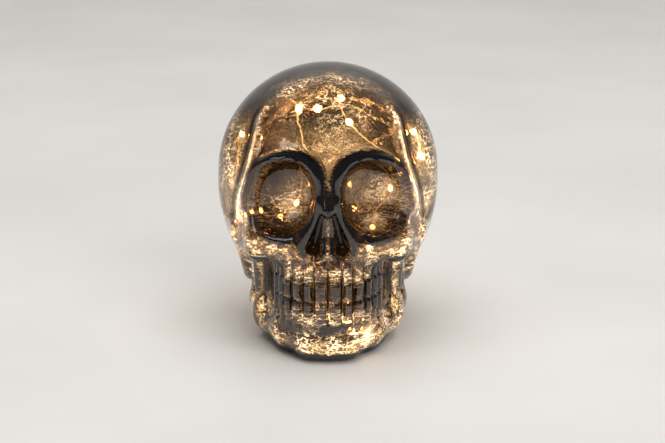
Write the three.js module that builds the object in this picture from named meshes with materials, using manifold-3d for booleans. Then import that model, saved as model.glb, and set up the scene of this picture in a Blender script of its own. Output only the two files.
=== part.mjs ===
// Moulded glass skull lamp with a battery light unit bonded into its foot.
// Millimetres, +Z up, the face looks along -Y, the skull stands on z = 0.
import * as THREE from 'three';
import { mergeVertices } from 'three/addons/utils/BufferGeometryUtils.js';
import Module from 'manifold-3d';

const wasm = await Module();
wasm.setup();

// Glass skull
const skullWidth = 121.5;
const skullDepth = 141.8;
const skullHeight = 147;
const glassWall = 3.2;
const footLand = 1.6;
const footRadius = 2.6;
const glassFloor = 3.3;

// Cells and battery bay
const cellCount = 3;
const cellDiameter = 10.5;
const cellBody = 43.3;
const nubLength = 1.2;
const nubDiameter = 3.8;
const cellShoulder = 0.5;
const cellGap = 0.5;
const springLength = 4;
const springWire = 0.5;
const springDiameter = 4.7;
const springTurns = 3.5;
const contactThickness = 0.4;
const contactGap = 0.3;
const contactWidth = 7.6;
const contactHeight = 5.2;
const contactTab = 2;
const bayWall = 2;
const bayRoof = 1.4;
const roofGap = 0.3;

// Housing
const flangeRise = 0.8;
const flangeThickness = 2;
const flangeLip = 2;
const barrelWall = 1.8;
const sideRoom = 5.9;
const neckGap = 0.4;
const recessGap = 0.5;
const sealThickness = 0.7;
const sealInset = 0.3;
const bossDiameter = 4.8;
const runGap = 0.3;
const overrun = 1;

// Battery door
const doorThickness = 1.8;
const doorLap = 1.2;
const doorGap = 0.35;
const doorCorner = 2;
const seatCorner = 0.8;
const hookWidth = 4;
const hookSpacing = 12;
const hookReach = 1.9;
const hookThickness = 1;
const latchWidth = 8;
const latchHeight = 2;
const latchThickness = 0.8;
const latchNub = 0.3;
const gripLength = 12;
const gripWidth = 0.9;
const gripDepth = 0.5;
const gripPitch = 2;
const gripCount = 3;
const scoopRadius = 6;
const scoopDepth = 1;

// Cover and screws
const coverThickness = 1.6;
const coverLip = 1.5;
const coverLipWall = 1.2;
const screwDiameter = 2.2;
const screwLength = 8;
const screwHead = 4.4;
const screwHeadHeight = 1.5;
const screwSocket = 1.1;

// Slide switch
const switchWidth = 3.8;
const switchLength = 9.6;
const switchHeight = 4.2;
const switchWall = 0.6;
const sliderTravel = 4;
const sliderWidth = 2;
const sliderLength = 3.4;
const sliderHead = 1.2;
const stemWidth = 1.1;
const stemLength = 1.8;
const stemInset = 0.1;
const slotGap = 0.2;
const pocketMargin = 2;
const pocketDepth = 0.6;

// Timer board
const boardLength = 26;
const boardWidth = 13;
const boardThickness = 1.2;
const boardPost = 1.5;
const boardPostDiameter = 3;
const chipDiameter = 7;
const chipHeight = 1.4;
const leadDiameter = 1.2;
const leadInset = 4.2;
const boardRoom = 2.5;

// Light string
const wireDiameter = 0.8;
const beadLength = 4.6;
const beadDiameter = 3.2;
const beadBore = 1.2;
const beadRun = 5.8;
const grommetBore = 1.4;
const grommetBody = 4.6;
const grommetFlange = 6.8;
const grommetLip = 0.8;

// Sizes that follow from those above
const cellPitch = cellDiameter + cellGap;
const cellLength = cellBody + nubLength;
const bayWidth = cellCount * cellDiameter + (cellCount + 1) * cellGap;
const bayLength = cellLength + springLength + 3 * contactGap + 2 * contactThickness;
const bayHalfX = bayWidth / 2;
const bayHalfY = bayLength / 2;
const barrelHalfX = bayHalfX + bayWall + sideRoom + barrelWall;
const barrelHalfY = bayHalfY + bayWall + sideRoom + barrelWall;
const flangeHalfX = barrelHalfX + flangeLip;
const flangeHalfY = barrelHalfY + flangeLip;
const flangeTop = flangeRise + flangeThickness;
const ledgeLevel = flangeTop + sealThickness;
const floorLevel = ledgeLevel + glassFloor;
const doorTop = flangeRise + doorThickness;
const cellLevel = doorTop + cellGap + cellDiameter / 2;
const roofLow = cellLevel + cellDiameter / 2 + roofGap;
const roofTop = roofLow + bayRoof;
const doorHalfX = bayHalfX + doorLap;
const doorHalfY = bayHalfY + doorLap;
const hingeLevel = flangeRise + doorThickness / 2;
const hingeY = doorHalfY - doorThickness / 2;
const boardLevel = roofTop + boardPost;
const boardTop = boardLevel + boardThickness;
const barrelTop = boardTop + boardRoom;
const coverTop = barrelTop + coverThickness;
const switchX = bayHalfX + bayWall + sideRoom / 2;
const landHalfX = flangeHalfX + recessGap + footLand;
const landHalfY = flangeHalfY + recessGap + footLand;

// How square the oval plan of the foot and the light unit is
const ovalPowerShare = 2.35;
// Where the neck stands, and the upright axis that the skull is lofted round
const neckShare = -0.0917;
const neckY = neckShare * skullDepth;

// Smooth joining of implicit forms
function join(a, b, k) {
  if (k === 0) return Math.min(a, b);
  const h = Math.min(1, Math.max(0, 0.5 + 0.5 * (b - a) / k));
  return b + (a - b) * h - k * h * (1 - h);
}

function ease(t) {
  const c = Math.min(1, Math.max(0, t));
  return c * c * (3 - 2 * c);
}

function swell(t, width) {
  return Math.exp(-((t / width) ** 2));
}

function between(value, places, values) {
  if (value <= places[0]) return values[0];
  for (let i = 1; i < places.length; i++) {
    if (value <= places[i]) {
      const part = (value - places[i - 1]) / (places[i] - places[i - 1]);
      return values[i - 1] + (values[i] - values[i - 1]) * part;
    }
  }
  return values[values.length - 1];
}

// Places are shares of the skull's width, depth and height; limb radii and blends are shares of its width
const size = [skullWidth, skullDepth, skullHeight];

function ball(at, radii, blend) {
  const c = at.map((v, i) => v * size[i]);
  const r = radii.map((v, i) => v * size[i]);
  const k = blend * skullWidth;
  const field = (x, y, z) => {
    const u = (x - c[0]) / r[0];
    const v = (y - c[1]) / r[1];
    const w = (z - c[2]) / r[2];
    const near = Math.hypot(u, v, w);
    const slope = Math.hypot(u / r[0], v / r[1], w / r[2]) + Number.EPSILON;
    return near * (near - 1) / slope;
  };
  return { field, k };
}

function limb(from, to, startRadius, endRadius, blend, stretch = 1, level = 0) {
  const a = from.map((v, i) => v * size[i]);
  const b = to.map((v, i) => v * size[i]);
  const d = b.map((v, i) => v - a[i]);
  const run = d[0] ** 2 + d[1] ** 2 + d[2] ** 2;
  const r0 = startRadius * skullWidth;
  const r1 = endRadius * skullWidth;
  const flat = level * skullHeight;
  const k = blend * skullWidth;
  const field = (x, y, height) => {
    const z = flat + (height - flat) * stretch;
    const along = ((x - a[0]) * d[0] + (y - a[1]) * d[1] + (z - a[2]) * d[2]) / run;
    const t = Math.min(1, Math.max(0, along));
    const away = Math.hypot(x - a[0] - t * d[0], y - a[1] - t * d[1], z - a[2] - t * d[2]);
    return away - (r0 + (r1 - r0) * t);
  };
  return { field, k };
}

function post(centreY, halfX, halfY, low, high, power, edge, blend) {
  const reach = Math.min(halfX, halfY);
  const soft = edge * skullWidth;
  const k = blend * skullWidth;
  const field = (x, y, z) => {
    const ring = (Math.abs(x / halfX) ** power + Math.abs((y - centreY) / halfY) ** power) ** (1 / power);
    let d = (ring - 1) * reach;
    d = -join(-d, -(low - z), soft);
    d = -join(-d, -(z - high), soft);
    return d;
  };
  return { field, k };
}

const craniumShares = [
  ball([0, 0.0423, 0.5986], [0.4979, 0.4654, 0.4014], 0),
  ball([0, -0.1269, 0.6531], [0.3539, 0.3032, 0.3129], 0.0576),
  ball([0, 0.0705, 0.4898], [0.4872, 0.3526, 0.3265], 0.0494),
  limb([0.3621, 0.0917, 0.381], [0.3416, 0.0917, 0.1905], 0.0905, 0.0535, 0.0658),
  ball([0, 0.1693, 0.3129], [0.321, 0.2539, 0.2449], 0.1152),
];
const trunkTopShare = 0.4082;
const trunk = post(neckY, landHalfX + footRadius, landHalfY + footRadius, -skullHeight,
  trunkTopShare * skullHeight, ovalPowerShare, 0.0494, 0.0412);
const midFaceShares = [
  ball([0, -0.2398, 0.5442], [0.3539, 0.1975, 0.2449], 0.0494),
];
const jawShares = [
  limb([0.2798, -0.0141, 0.1088], [0.2551, -0.1551, 0.0918], 0.0741, 0.07, 0),
  limb([0.2551, -0.1551, 0.0918], [0.1687, -0.3032, 0.0816], 0.07, 0.07, 0.0494),
  limb([0.1687, -0.3032, 0.0816], [0.0658, -0.3879, 0.068], 0.07, 0.0741, 0.0494),
  limb([0.0658, -0.3879, 0.068], [0, -0.3984, 0.068], 0.0741, 0.0823, 0.0494),
];
const ramusShares = [
  limb([0.2881, -0.0282, 0.1088], [0.3004, -0.0564, 0.3673], 0.0617, 0.0576, 0),
  limb([0.2757, -0.1269, 0.1224], [0.2963, -0.141, 0.3537], 0.0494, 0.0453, 0.0412),
];
const jawBlendShares = { ramus: 0.0412, skull: 0.0288 };
const archShares = { y: -0.275, radius: 0.2305, depth: 0.1904, low: 0.1156, high: 0.3673 };
const archRadius = archShares.radius * skullWidth;
const archY = archShares.y * skullDepth;
const dentalArch = post(archY, archRadius, archShares.depth * skullDepth,
  archShares.low * skullHeight, archShares.high * skullHeight, 2, 0.0329, 0.0247);
const cheekShares = [
  ball([0, -0.3173, 0.4014], [0.2222, 0.1375, 0.0884], 0.0412),
  limb([0.1646, -0.3773, 0.4184], [0.3045, -0.3173, 0.4184], 0.0494, 0.0461, 0.0412, 0.62, 0.4184),
  limb([0.3045, -0.3173, 0.4184], [0.3868, -0.1551, 0.4116], 0.0461, 0.0379, 0.0412, 0.62, 0.4184),
  limb([0.3868, -0.1551, 0.415], [0.4115, 0.0564, 0.4218], 0.0379, 0.0412, 0.0412, 0.8, 0.415),
];
const orbitShares = {
  x: 0.1975, z: 0.5952, tilt: 0.1322, power: 2.3,
  rimX: 0.1572, rimZ: 0.1449, rimY: -0.4203, rimBend: 0.989, rimFlat: 0.8,
  thin: 0.0115, thick: 0.0165, rimBlend: 0.0412,
};
// Eye socket, lofted along its own line: places along it as shares of the depth, and how wide it is there
const socketShares = {
  y: -0.3985, turn: 0.105, halfX: 0.1497, halfZ: 0.1313, depth: 0.0917,
  along: [-1, -0.96, -0.82, -0.6, -0.33, -0.08, 0.12, 0.32, 0.6], wide: [0, 0.34, 0.64, 0.84, 0.95, 1, 1.06, 1.2, 1.5],
};
// Nose opening, one tapered lobe each side of the septum
const noseLobeShares = {
  top: [0.0247, 0.5442], low: [0.0626, 0.4218], y: -0.4654, reach: 2.1,
  topRadius: 0.0144, lowRadius: 0.0362,
};
const browShares = [
  ball([0, -0.3879, 0.6871], [0.0905, 0.0564, 0.0544], 0.0412),
  limb([0, -0.4126, 0.6803], [0, -0.4654, 0.5714], 0.0428, 0.0313, 0.0329),
  limb([0.0412, -0.4337, 0.585], [0.1152, -0.4196, 0.4218], 0.028, 0.0346, 0.0329),
];
// The temporal line, as places up the skull's height and across its width, and the step behind it
const templeShares = {
  up: [0.4082, 0.5646, 0.6973, 0.8435, 0.9252], across: [0.4156, 0.3909, 0.3457, 0.3045, 0.2387],
  step: 0.0346, edge: 0.0263, lead: 0.0123, front: -0.2257, back: 0.2821,
  top: 0.7619, topFade: 0.1361, low: 0.4354, lowFade: 0.0544,
  ridge: 0.0074, ridgeAt: 0.0181, ridgeWidth: 0.0181, ridgeTop: 0.7891, ridgeTopFade: 0.1224,
  ridgeLow: 0.4762, ridgeLowFade: 0.068, ridgeBack: -0.141, ridgeBackFade: 0.141,
};
const jawHollowShares = {
  y: -0.0776, width: 0.0388, low: 0.1156, lowFade: 0.0544, top: 0.2993, topFade: 0.068,
  x: 0.2469, fade: 0.0412, depth: 0.0148,
};
const toothWidthShares = [0.0658, 0.056, 0.0576, 0.0527, 0.0527, 0.0593];
const toothShares = {
  groove: 0.0091, crownGroove: 0.0156, rootGroove: 0.0099, biteDepth: 0.0132, biteWidth: 0.0082,
  swell: 0.0091, endFade: 0.0165, endReach: 0.0123, back: 0.0705,
  bite: 0.2367, crownLow: 0.1701, crownHigh: 0.3095, crownFade: 0.0136,
  rootLow: 0.1156, rootHigh: 0.381, rootFade: 0.0408,
};

function fieldOf(list, x, y, z, start = Infinity) {
  let d = start;
  for (const form of list) {
    const next = form.field(x, y, z);
    d = d === Infinity ? next : join(d, next, form.k);
  }
  return d;
}

function orbitRing(x, z, halfX, halfZ) {
  const dx = x - orbitShares.x * skullWidth;
  const dz = z + orbitShares.tilt * dx * skullHeight / skullWidth - orbitShares.z * skullHeight;
  const u = dx / halfX;
  const w = dz / halfZ;
  const power = orbitShares.power;
  const rho = (Math.abs(u) ** power + Math.abs(w) ** power) ** (1 / power);
  return { rho, u, w };
}

function boneField(side, y, z) {
  const x = Math.abs(side);
  const W = skullWidth;
  const D = skullDepth;
  const H = skullHeight;
  let d = fieldOf(craniumShares, x, y, z);
  d = join(d, trunk.field(x, y, z), trunk.k);
  d = fieldOf(midFaceShares, x, y, z, d);
  const jaw = join(fieldOf(jawShares, x, y, z), fieldOf(ramusShares, x, y, z), jawBlendShares.ramus * W);
  d = join(d, jaw, jawBlendShares.skull * W);
  d = join(d, dentalArch.field(x, y, z), dentalArch.k);
  d = fieldOf(cheekShares, x, y, z, d);

  const o = orbitShares;
  const rim = orbitRing(x, z, o.rimX * W, o.rimZ * H);
  const reach = Math.hypot(x - o.x * W, z - o.z * H) / (rim.rho + Number.EPSILON);
  const faceY = (o.rimY + o.rimBend * (x / W) ** 2) * D;
  const rise = Math.max(ease((rim.w + 0.35) / 0.9), ease((-rim.u - 0.1) / 0.7));
  const thick = (o.thin + o.thick * rise) * W;
  d = join(d, Math.hypot((rim.rho - 1) * reach, (y - faceY) * o.rimFlat) - thick, o.rimBlend * W);
  d = fieldOf(browShares, x, y, z, d);

  const t = templeShares;
  const line = between(z, t.up.map((v) => v * H), t.across.map((v) => v * W));
  if (y < skullDepth / 7) {
    const behind = ease((x - line + t.lead * W) / (t.edge * W)) * (1 - ease((y - t.front * D) / (t.back * D)))
      * (1 - ease((z - t.top * H) / (t.topFade * H))) * ease((z - t.low * H) / (t.lowFade * H));
    const ridge = swell(x - line + t.ridgeAt * W, t.ridgeWidth * W)
      * (1 - ease((z - t.ridgeTop * H) / (t.ridgeTopFade * H))) * ease((z - t.ridgeLow * H) / (t.ridgeLowFade * H))
      * (1 - ease((y - t.ridgeBack * D) / (t.ridgeBackFade * D)));
    d += t.step * W * behind - t.ridge * W * ridge;
  }

  const j = jawHollowShares;
  d += j.depth * W * swell(y - j.y * D, j.width * D) * ease((z - j.low * H) / (j.lowFade * H))
    * (1 - ease((z - j.top * H) / (j.topFade * H))) * ease((x - j.x * W) / (j.fade * W));
  return d;
}

const toothEdges = [0];
for (const share of toothWidthShares) {
  toothEdges.push(toothEdges[toothEdges.length - 1] + share * skullWidth);
}

function band(z, low, high, fade) {
  return Math.min(1, Math.max(0, (z - low) / fade)) * Math.min(1, Math.max(0, (high - z) / fade));
}

function toothRelief(x, y, z) {
  const s = toothShares;
  if (y > archY + s.back * skullDepth) return 0;
  const along = archRadius * Math.atan2(Math.abs(x), archY - y);
  let groove = 0;
  for (const edge of toothEdges) groove = Math.max(groove, swell(along - edge, s.groove * skullWidth));
  const last = toothEdges[toothEdges.length - 1];
  const front = Math.min(1, Math.max(0, (last + s.endReach * skullWidth - along) / (s.endFade * skullWidth)));
  const crown = band(z, s.crownLow * skullHeight, s.crownHigh * skullHeight, s.crownFade * skullHeight);
  const root = band(z, s.rootLow * skullHeight, s.rootHigh * skullHeight, s.rootFade * skullHeight);
  const cut = groove * (s.crownGroove * crown + s.rootGroove * root);
  const bite = s.biteDepth * swell(z - s.bite * skullHeight, s.biteWidth * skullWidth);
  return front * (Math.max(cut, bite) - s.swell * crown) * skullWidth;
}

function outerField(x, y, z) {
  return boneField(x, y, z) + toothRelief(x, y, z);
}

// Loft grid: upright rows up the face, then rows that fan over the crown from the axis
const rowShares = [
  0.0218, 0.0463, 0.065, 0.087, 0.107, 0.128, 0.15, 0.1701, 0.19, 0.215, 0.2367, 0.258,
  0.283, 0.3095, 0.328, 0.348, 0.368, 0.388, 0.41, 0.433, 0.457, 0.482, 0.51, 0.54, 0.5714,
];
const fanTurnShares = [
  0.04, 0.08, 0.12, 0.16, 0.2, 0.24, 0.28, 0.32, 0.365, 0.43, 0.51, 0.6, 0.7, 0.82,
];
const sideTurnShares = [0.12, 0.25, 0.39, 0.54, 0.69, 0.84, 1];
const backTurnShares = [0.55, 0.6, 0.65, 0.7, 0.75, 0.8, 0.85, 0.9, 0.95];
const axisShares = { low: 0.3946, high: 0.5714, y: -0.0282 };
const reliefShare = 0.014;
// The rays start off the axis and lean forward, so that they look straight into the eye sockets
const leanShares = { out: 0.18, turn: 0.1, rise: 0.14, lift: 0.1, fade: 0.62 };

function axisY(z) {
  const places = [axisShares.low * skullHeight, axisShares.high * skullHeight];
  return between(z, places, [neckY, axisShares.y * skullDepth]);
}

function rayAt(z, angle, fan) {
  const side = Math.sin(angle);
  const front = Math.cos(angle) > 0 ? Math.sin(2 * angle) : 0;
  const turned = angle - leanShares.turn * Math.PI * front;
  const lift = fan * Math.PI / 2;
  const near = 1 - ease((1 - Math.cos(angle)) / (2 * leanShares.fade));
  const climb = lift - leanShares.lift * Math.PI * near * Math.sin(2 * lift);
  const up = Math.sin(climb);
  const flat = Math.cos(climb);
  return {
    from: [leanShares.out * skullWidth * side * Math.cos(lift), axisY(z),
      z + leanShares.rise * skullHeight * Math.sin(lift)],
    way: [Math.sin(turned) * flat, -Math.cos(turned) * flat, up],
  };
}

function rayOf(row, angle) {
  if (row < rowShares.length) {
    const z = row === 0 ? footRadius : row === 1 ? floorLevel : rowShares[row] * skullHeight;
    return rayAt(z, angle, 0);
  }
  const last = row - rowShares.length;
  const fan = last < fanTurnShares.length ? fanTurnShares[last] : 1;
  return rayAt(rowShares[rowShares.length - 1] * skullHeight, angle, fan);
}

const columnAngles = [];
{
  const bite = toothShares.bite * skullHeight;
  const angleOf = (along) => {
    const phi = along / archRadius;
    const x = archRadius * Math.sin(phi);
    const y = archY - archRadius * Math.cos(phi);
    let low = 0;
    let high = Math.PI / 2;
    for (let i = 0; i < 40; i++) {
      const middle = (low + high) / 2;
      const ray = rayAt(bite, middle, 0);
      if ((x - ray.from[0]) * ray.way[1] - (y - ray.from[1]) * ray.way[0] < 0) low = middle;
      else high = middle;
    }
    return low;
  };
  const beside = reliefShare * skullWidth;
  const right = [0, angleOf(beside)];
  toothEdges.slice(1).forEach((edge, i, rest) => {
    right.push(angleOf(edge - beside), angleOf(edge));
    if (i < rest.length - 1) right.push(angleOf(edge + beside));
  });
  const last = right[right.length - 1] / Math.PI;
  for (const share of sideTurnShares) right.push((last + (0.5 - last) * share) * Math.PI);
  for (const share of backTurnShares) right.push(share * Math.PI);
  const left = right.slice(1).reverse().map((angle) => 2 * Math.PI - angle);
  columnAngles.push(...right, Math.PI, ...left);
}
const columnCount = columnAngles.length;

function reachOf(ray, level, field, start) {
  const at = (t) => field(ray.from[0] + ray.way[0] * t, ray.from[1] + ray.way[1] * t,
    ray.from[2] + ray.way[2] * t) + level;
  const step = skullWidth / 120;
  let far = start;
  while (far > 0 && at(far - step) > 0) far -= step;
  let near = far - step;
  for (let i = 0; i < 14; i++) {
    const middle = (near + far) / 2;
    if (at(middle) > 0) far = middle;
    else near = middle;
  }
  return near;
}

function pointOf(ray, t) {
  return ray.from.map((v, i) => v + ray.way[i] * t);
}

const rowCount = rowShares.length + fanTurnShares.length;
const outerReach = [];
const innerReach = [];
for (let row = 0; row <= rowCount; row++) {
  const outer = [];
  const inner = [];
  for (const angle of row === rowCount ? [0] : columnAngles) {
    const ray = rayOf(row, angle);
    const out = reachOf(ray, 0, outerField, skullDepth * 0.8);
    outer.push(out);
    inner.push(Math.min(out - glassWall * 0.8, reachOf(ray, glassWall, boneField, out)));
  }
  outerReach.push(outer);
  innerReach.push(inner);
}

// The inside keeps the least depth among the neighbours, so it stays a soft copy of the outside
function softReach(row, column) {
  let least = Infinity;
  for (let dr = -1; dr <= 1; dr++) {
    const r = Math.min(rowCount, Math.max(0, row + dr));
    for (let dc = -1; dc <= 1; dc++) {
      const line = innerReach[r];
      least = Math.min(least, line[line.length === 1 ? 0 : (column + dc + columnCount) % columnCount]);
    }
  }
  return least;
}

function ovalReach(halfX, halfY, angle) {
  const p = ovalPowerShare;
  return (Math.abs(Math.sin(angle) / halfX) ** p + Math.abs(Math.cos(angle) / halfY) ** p) ** (-1 / p);
}

// A closed loft through rings of points, with a flat low end and a pointed crown
function loft(rings, lowPoint, highPoint) {
  const points = rings.flat().concat([lowPoint, highPoint]);
  const count = rings[0].length;
  const gap = (a, b) => Math.hypot(a[0] - b[0], a[1] - b[1], a[2] - b[2]);
  const faces = [];
  for (let row = 1; row < rings.length; row++) {
    for (let i = 0; i < count; i++) {
      const k = (i + 1) % count;
      const [a, b] = [(row - 1) * count + i, (row - 1) * count + k];
      const [c, d] = [row * count + k, row * count + i];
      if (gap(points[a], points[c]) <= gap(points[b], points[d])) faces.push([a, b, c], [a, c, d]);
      else faces.push([a, b, d], [b, c, d]);
    }
  }
  const top = (rings.length - 1) * count;
  for (let i = 0; i < count; i++) {
    const k = (i + 1) % count;
    faces.push([points.length - 2, k, i], [points.length - 1, top + i, top + k]);
  }
  const geometry = new THREE.BufferGeometry();
  geometry.setAttribute('position', new THREE.Float32BufferAttribute(points.flat(), 3));
  geometry.setIndex(faces.flat());
  return geometry;
}

function outerLoft() {
  const rings = [];
  for (let row = 0; row < rowCount; row++) {
    rings.push(columnAngles.map((angle, i) => pointOf(rayOf(row, angle), outerReach[row][i])));
  }
  // The foot's rounded edge, from its flat land up to the lowest row
  const footSteps = 3;
  for (let k = 1; k <= footSteps; k++) {
    const turn = k / footSteps * Math.PI / 2;
    rings.unshift(columnAngles.map((angle, i) => {
      const r = ovalReach(landHalfX, landHalfY, angle);
      const from = pointOf(rayOf(0, angle), outerReach[0][i]);
      const part = 1 - Math.cos(turn);
      return [from[0] + (Math.sin(angle) * r - from[0]) * part,
        from[1] + (neckY - Math.cos(angle) * r - from[1]) * part, footRadius * (1 - Math.sin(turn))];
    }));
  }
  return loft(rings, [0, neckY, 0], pointOf(rayOf(rowCount, 0), outerReach[rowCount][0]));
}

function innerLoft() {
  const rings = [];
  for (let row = 1; row < rowCount; row += 2) {
    const ring = [];
    for (let i = 0; i < columnCount; i += 2) ring.push(pointOf(rayOf(row, columnAngles[i]), softReach(row, i)));
    rings.push(ring);
  }
  return loft(rings, [0, neckY, floorLevel], pointOf(rayOf(rowCount, 0), softReach(rowCount, 0)));
}

function socketLoft(side, grow, sides) {
  const s = socketShares;
  const turn = s.turn * Math.PI;
  const across = [Math.cos(turn), Math.sin(turn)];
  const along = [Math.sin(turn), -Math.cos(turn)];
  const depth = s.depth * skullDepth;
  const rings = s.along.slice(1).map((part, step) => {
    const ring = [];
    for (let i = 0; i < sides; i++) {
      const angle = i / sides * 2 * Math.PI;
      const c = Math.cos(angle);
      const w = Math.sin(angle);
      const round = (Math.abs(c) ** orbitShares.power + Math.abs(w) ** orbitShares.power) ** (-1 / orbitShares.power);
      const wide = s.wide[step + 1] * round;
      const u = c * (s.halfX * skullWidth * wide + grow);
      const v = w * (s.halfZ * skullHeight * wide + grow);
      const t = part * depth - grow * (part < 0 ? -part : 0);
      const drop = orbitShares.tilt * u * skullHeight / skullWidth;
      ring.push([side * (orbitShares.x * skullWidth + across[0] * u + along[0] * t),
        s.y * skullDepth + across[1] * u + along[1] * t, orbitShares.z * skullHeight + v - drop]);
    }
    return side > 0 ? ring : ring.reverse();
  });
  const back = s.along[0] * depth - grow;
  const front = s.along[s.along.length - 1] * depth;
  const place = (t) => [side * (orbitShares.x * skullWidth + along[0] * t), s.y * skullDepth + along[1] * t,
    orbitShares.z * skullHeight];
  return loft(rings, place(back), place(front));
}

function noseLobe(side, grow, sides) {
  const s = noseLobeShares;
  const top = [s.top[0] * skullWidth, s.top[1] * skullHeight];
  const low = [s.low[0] * skullWidth, s.low[1] * skullHeight];
  const length = Math.hypot(top[0] - low[0], top[1] - low[1]);
  const r0 = s.lowRadius * skullWidth + grow;
  const r1 = s.topRadius * skullWidth + grow;
  const profile = [];
  for (let i = 0; i <= 4; i++) {
    const angle = (i / 4 - 1) * Math.PI / 2;
    profile.push([r0 * Math.cos(angle), r0 * Math.sin(angle)]);
  }
  for (let i = 0; i <= 3; i++) {
    const angle = i / 3 * Math.PI / 2;
    profile.push([r1 * Math.cos(angle), length + r1 * Math.sin(angle)]);
  }
  const geometry = revolve(profile, sides);
  const lean = Math.atan2(top[1] - low[1], top[0] - low[0]) - Math.PI / 2;
  geometry.scale(1, 1, s.reach).rotateX(Math.PI / 2);
  geometry.rotateY(-lean);
  geometry.translate(low[0], s.y * skullDepth, low[1]);
  if (side < 0) geometry.applyMatrix4(new THREE.Matrix4().makeScale(-1, 1, 1));
  return geometry;
}

function flipped(geometry) {
  const index = geometry.index.array;
  for (let i = 0; i < index.length; i += 3) [index[i], index[i + 1]] = [index[i + 1], index[i]];
  return geometry;
}

function glassSolid() {
  let outside = solidOf(outerLoft());
  // Round the light unit the wall keeps its thickness, with room for the string beside the barrel
  const room = slab(oval(landHalfX + footRadius - glassWall, landHalfY + footRadius - glassWall),
    floorLevel, coverTop + runGap);
  let inside = solidOf(innerLoft()).add(solidOf(room).translate([0, neckY, 0]));
  for (const side of [-1, 1]) {
    outside = outside.subtract(solidOf(socketLoft(side, 0, 24)));
    inside = inside.subtract(solidOf(socketLoft(side, glassWall, 16)));
    const lobe = (grow, sides) => (side < 0 ? flipped(noseLobe(side, grow, sides)) : noseLobe(side, grow, sides));
    outside = outside.subtract(solidOf(lobe(0, 12)));
    inside = inside.subtract(solidOf(lobe(glassWall, 8)));
  }
  const neck = solidOf(slab(oval(barrelHalfX + neckGap, barrelHalfY + neckGap), -overrun, floorLevel + overrun));
  const recess = solidOf(slab(oval(flangeHalfX + recessGap, flangeHalfY + recessGap), -overrun, ledgeLevel));
  const cuts = neck.add(recess).translate([0, neckY, 0]);
  return outside.subtract(inside).subtract(cuts);
}

// Solids for cutting and joining
function solidOf(geometry) {
  const bare = geometry.clone();
  bare.deleteAttribute('normal');
  bare.deleteAttribute('uv');
  const merged = mergeVertices(bare);
  const index = merged.index.array;
  const triangles = [];
  for (let i = 0; i < index.length; i += 3) {
    const [a, b, c] = [index[i], index[i + 1], index[i + 2]];
    if (a !== b && b !== c && a !== c) triangles.push(a, b, c);
  }
  return new wasm.Manifold(new wasm.Mesh({
    numProp: 3,
    vertProperties: new Float32Array(merged.attributes.position.array),
    triVerts: new Uint32Array(triangles),
  }));
}

function geometryOf(solid) {
  const mesh = solid.getMesh();
  const geometry = new THREE.BufferGeometry();
  geometry.setAttribute('position', new THREE.Float32BufferAttribute(mesh.vertProperties, 3));
  geometry.setIndex(Array.from(mesh.triVerts));
  geometry.computeVertexNormals();
  return geometry;
}

function slab(outline, low, high, holes = []) {
  const shape = new THREE.Shape(outline);
  for (const hole of holes) shape.holes.push(new THREE.Path(hole));
  const geometry = new THREE.ExtrudeGeometry(shape, { depth: high - low, bevelEnabled: false });
  return geometry.translate(0, 0, low);
}

const ovalSides = 40;

function oval(halfX, halfY) {
  const list = [];
  for (let i = 0; i < ovalSides; i++) {
    const angle = i / ovalSides * 2 * Math.PI;
    const r = ovalReach(halfX, halfY, angle);
    list.push(new THREE.Vector2(Math.sin(angle) * r, -Math.cos(angle) * r));
  }
  return list;
}

function disc(x, y, radius, sides) {
  const list = [];
  for (let i = 0; i < sides; i++) {
    const angle = i / sides * 2 * Math.PI;
    list.push(new THREE.Vector2(x + Math.cos(angle) * radius, y + Math.sin(angle) * radius));
  }
  return list;
}

function panel(x, y, halfX, halfY, corner = 0) {
  const turns = corner === 0 ? 0 : 4;
  const list = [];
  const corners = [[1, 1], [-1, 1], [-1, -1], [1, -1]];
  corners.forEach(([sx, sy], q) => {
    for (let i = 0; i <= turns; i++) {
      const angle = (q + (turns === 0 ? 0 : i / turns)) * Math.PI / 2;
      list.push(new THREE.Vector2(x + sx * (halfX - corner) + corner * Math.cos(angle),
        y + sy * (halfY - corner) + corner * Math.sin(angle)));
    }
  });
  return list;
}

function block(x, y, halfX, halfY, low, high, corner = 0) {
  return solidOf(slab(panel(x, y, halfX, halfY, corner), low, high));
}

function rod(x, y, radius, low, high, sides) {
  return solidOf(slab(disc(x, y, radius, sides), low, high));
}

function revolve(profile, sides) {
  return new THREE.LatheGeometry(profile.map(([r, h]) => new THREE.Vector2(r, h)), sides);
}

function upright(geometry) {
  return geometry.rotateX(Math.PI / 2);
}

// Screw places round the barrel, in the rooms beside the battery bay
const roomX = bayHalfX + bayWall + sideRoom / 2;
const roomY = bayHalfY + bayWall + sideRoom / 2;
const screwPlaces = [[0, roomY], [0, -roomY], [-roomX, 0]];
const hookPlaces = [-hookSpacing / 2, hookSpacing / 2];
const tabPlaces = [[-cellPitch, -1], [cellPitch, 1]];
const hookSwing = Math.hypot(hookReach + doorThickness / 2, hookThickness + runGap + flangeTop - hingeLevel);

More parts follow.
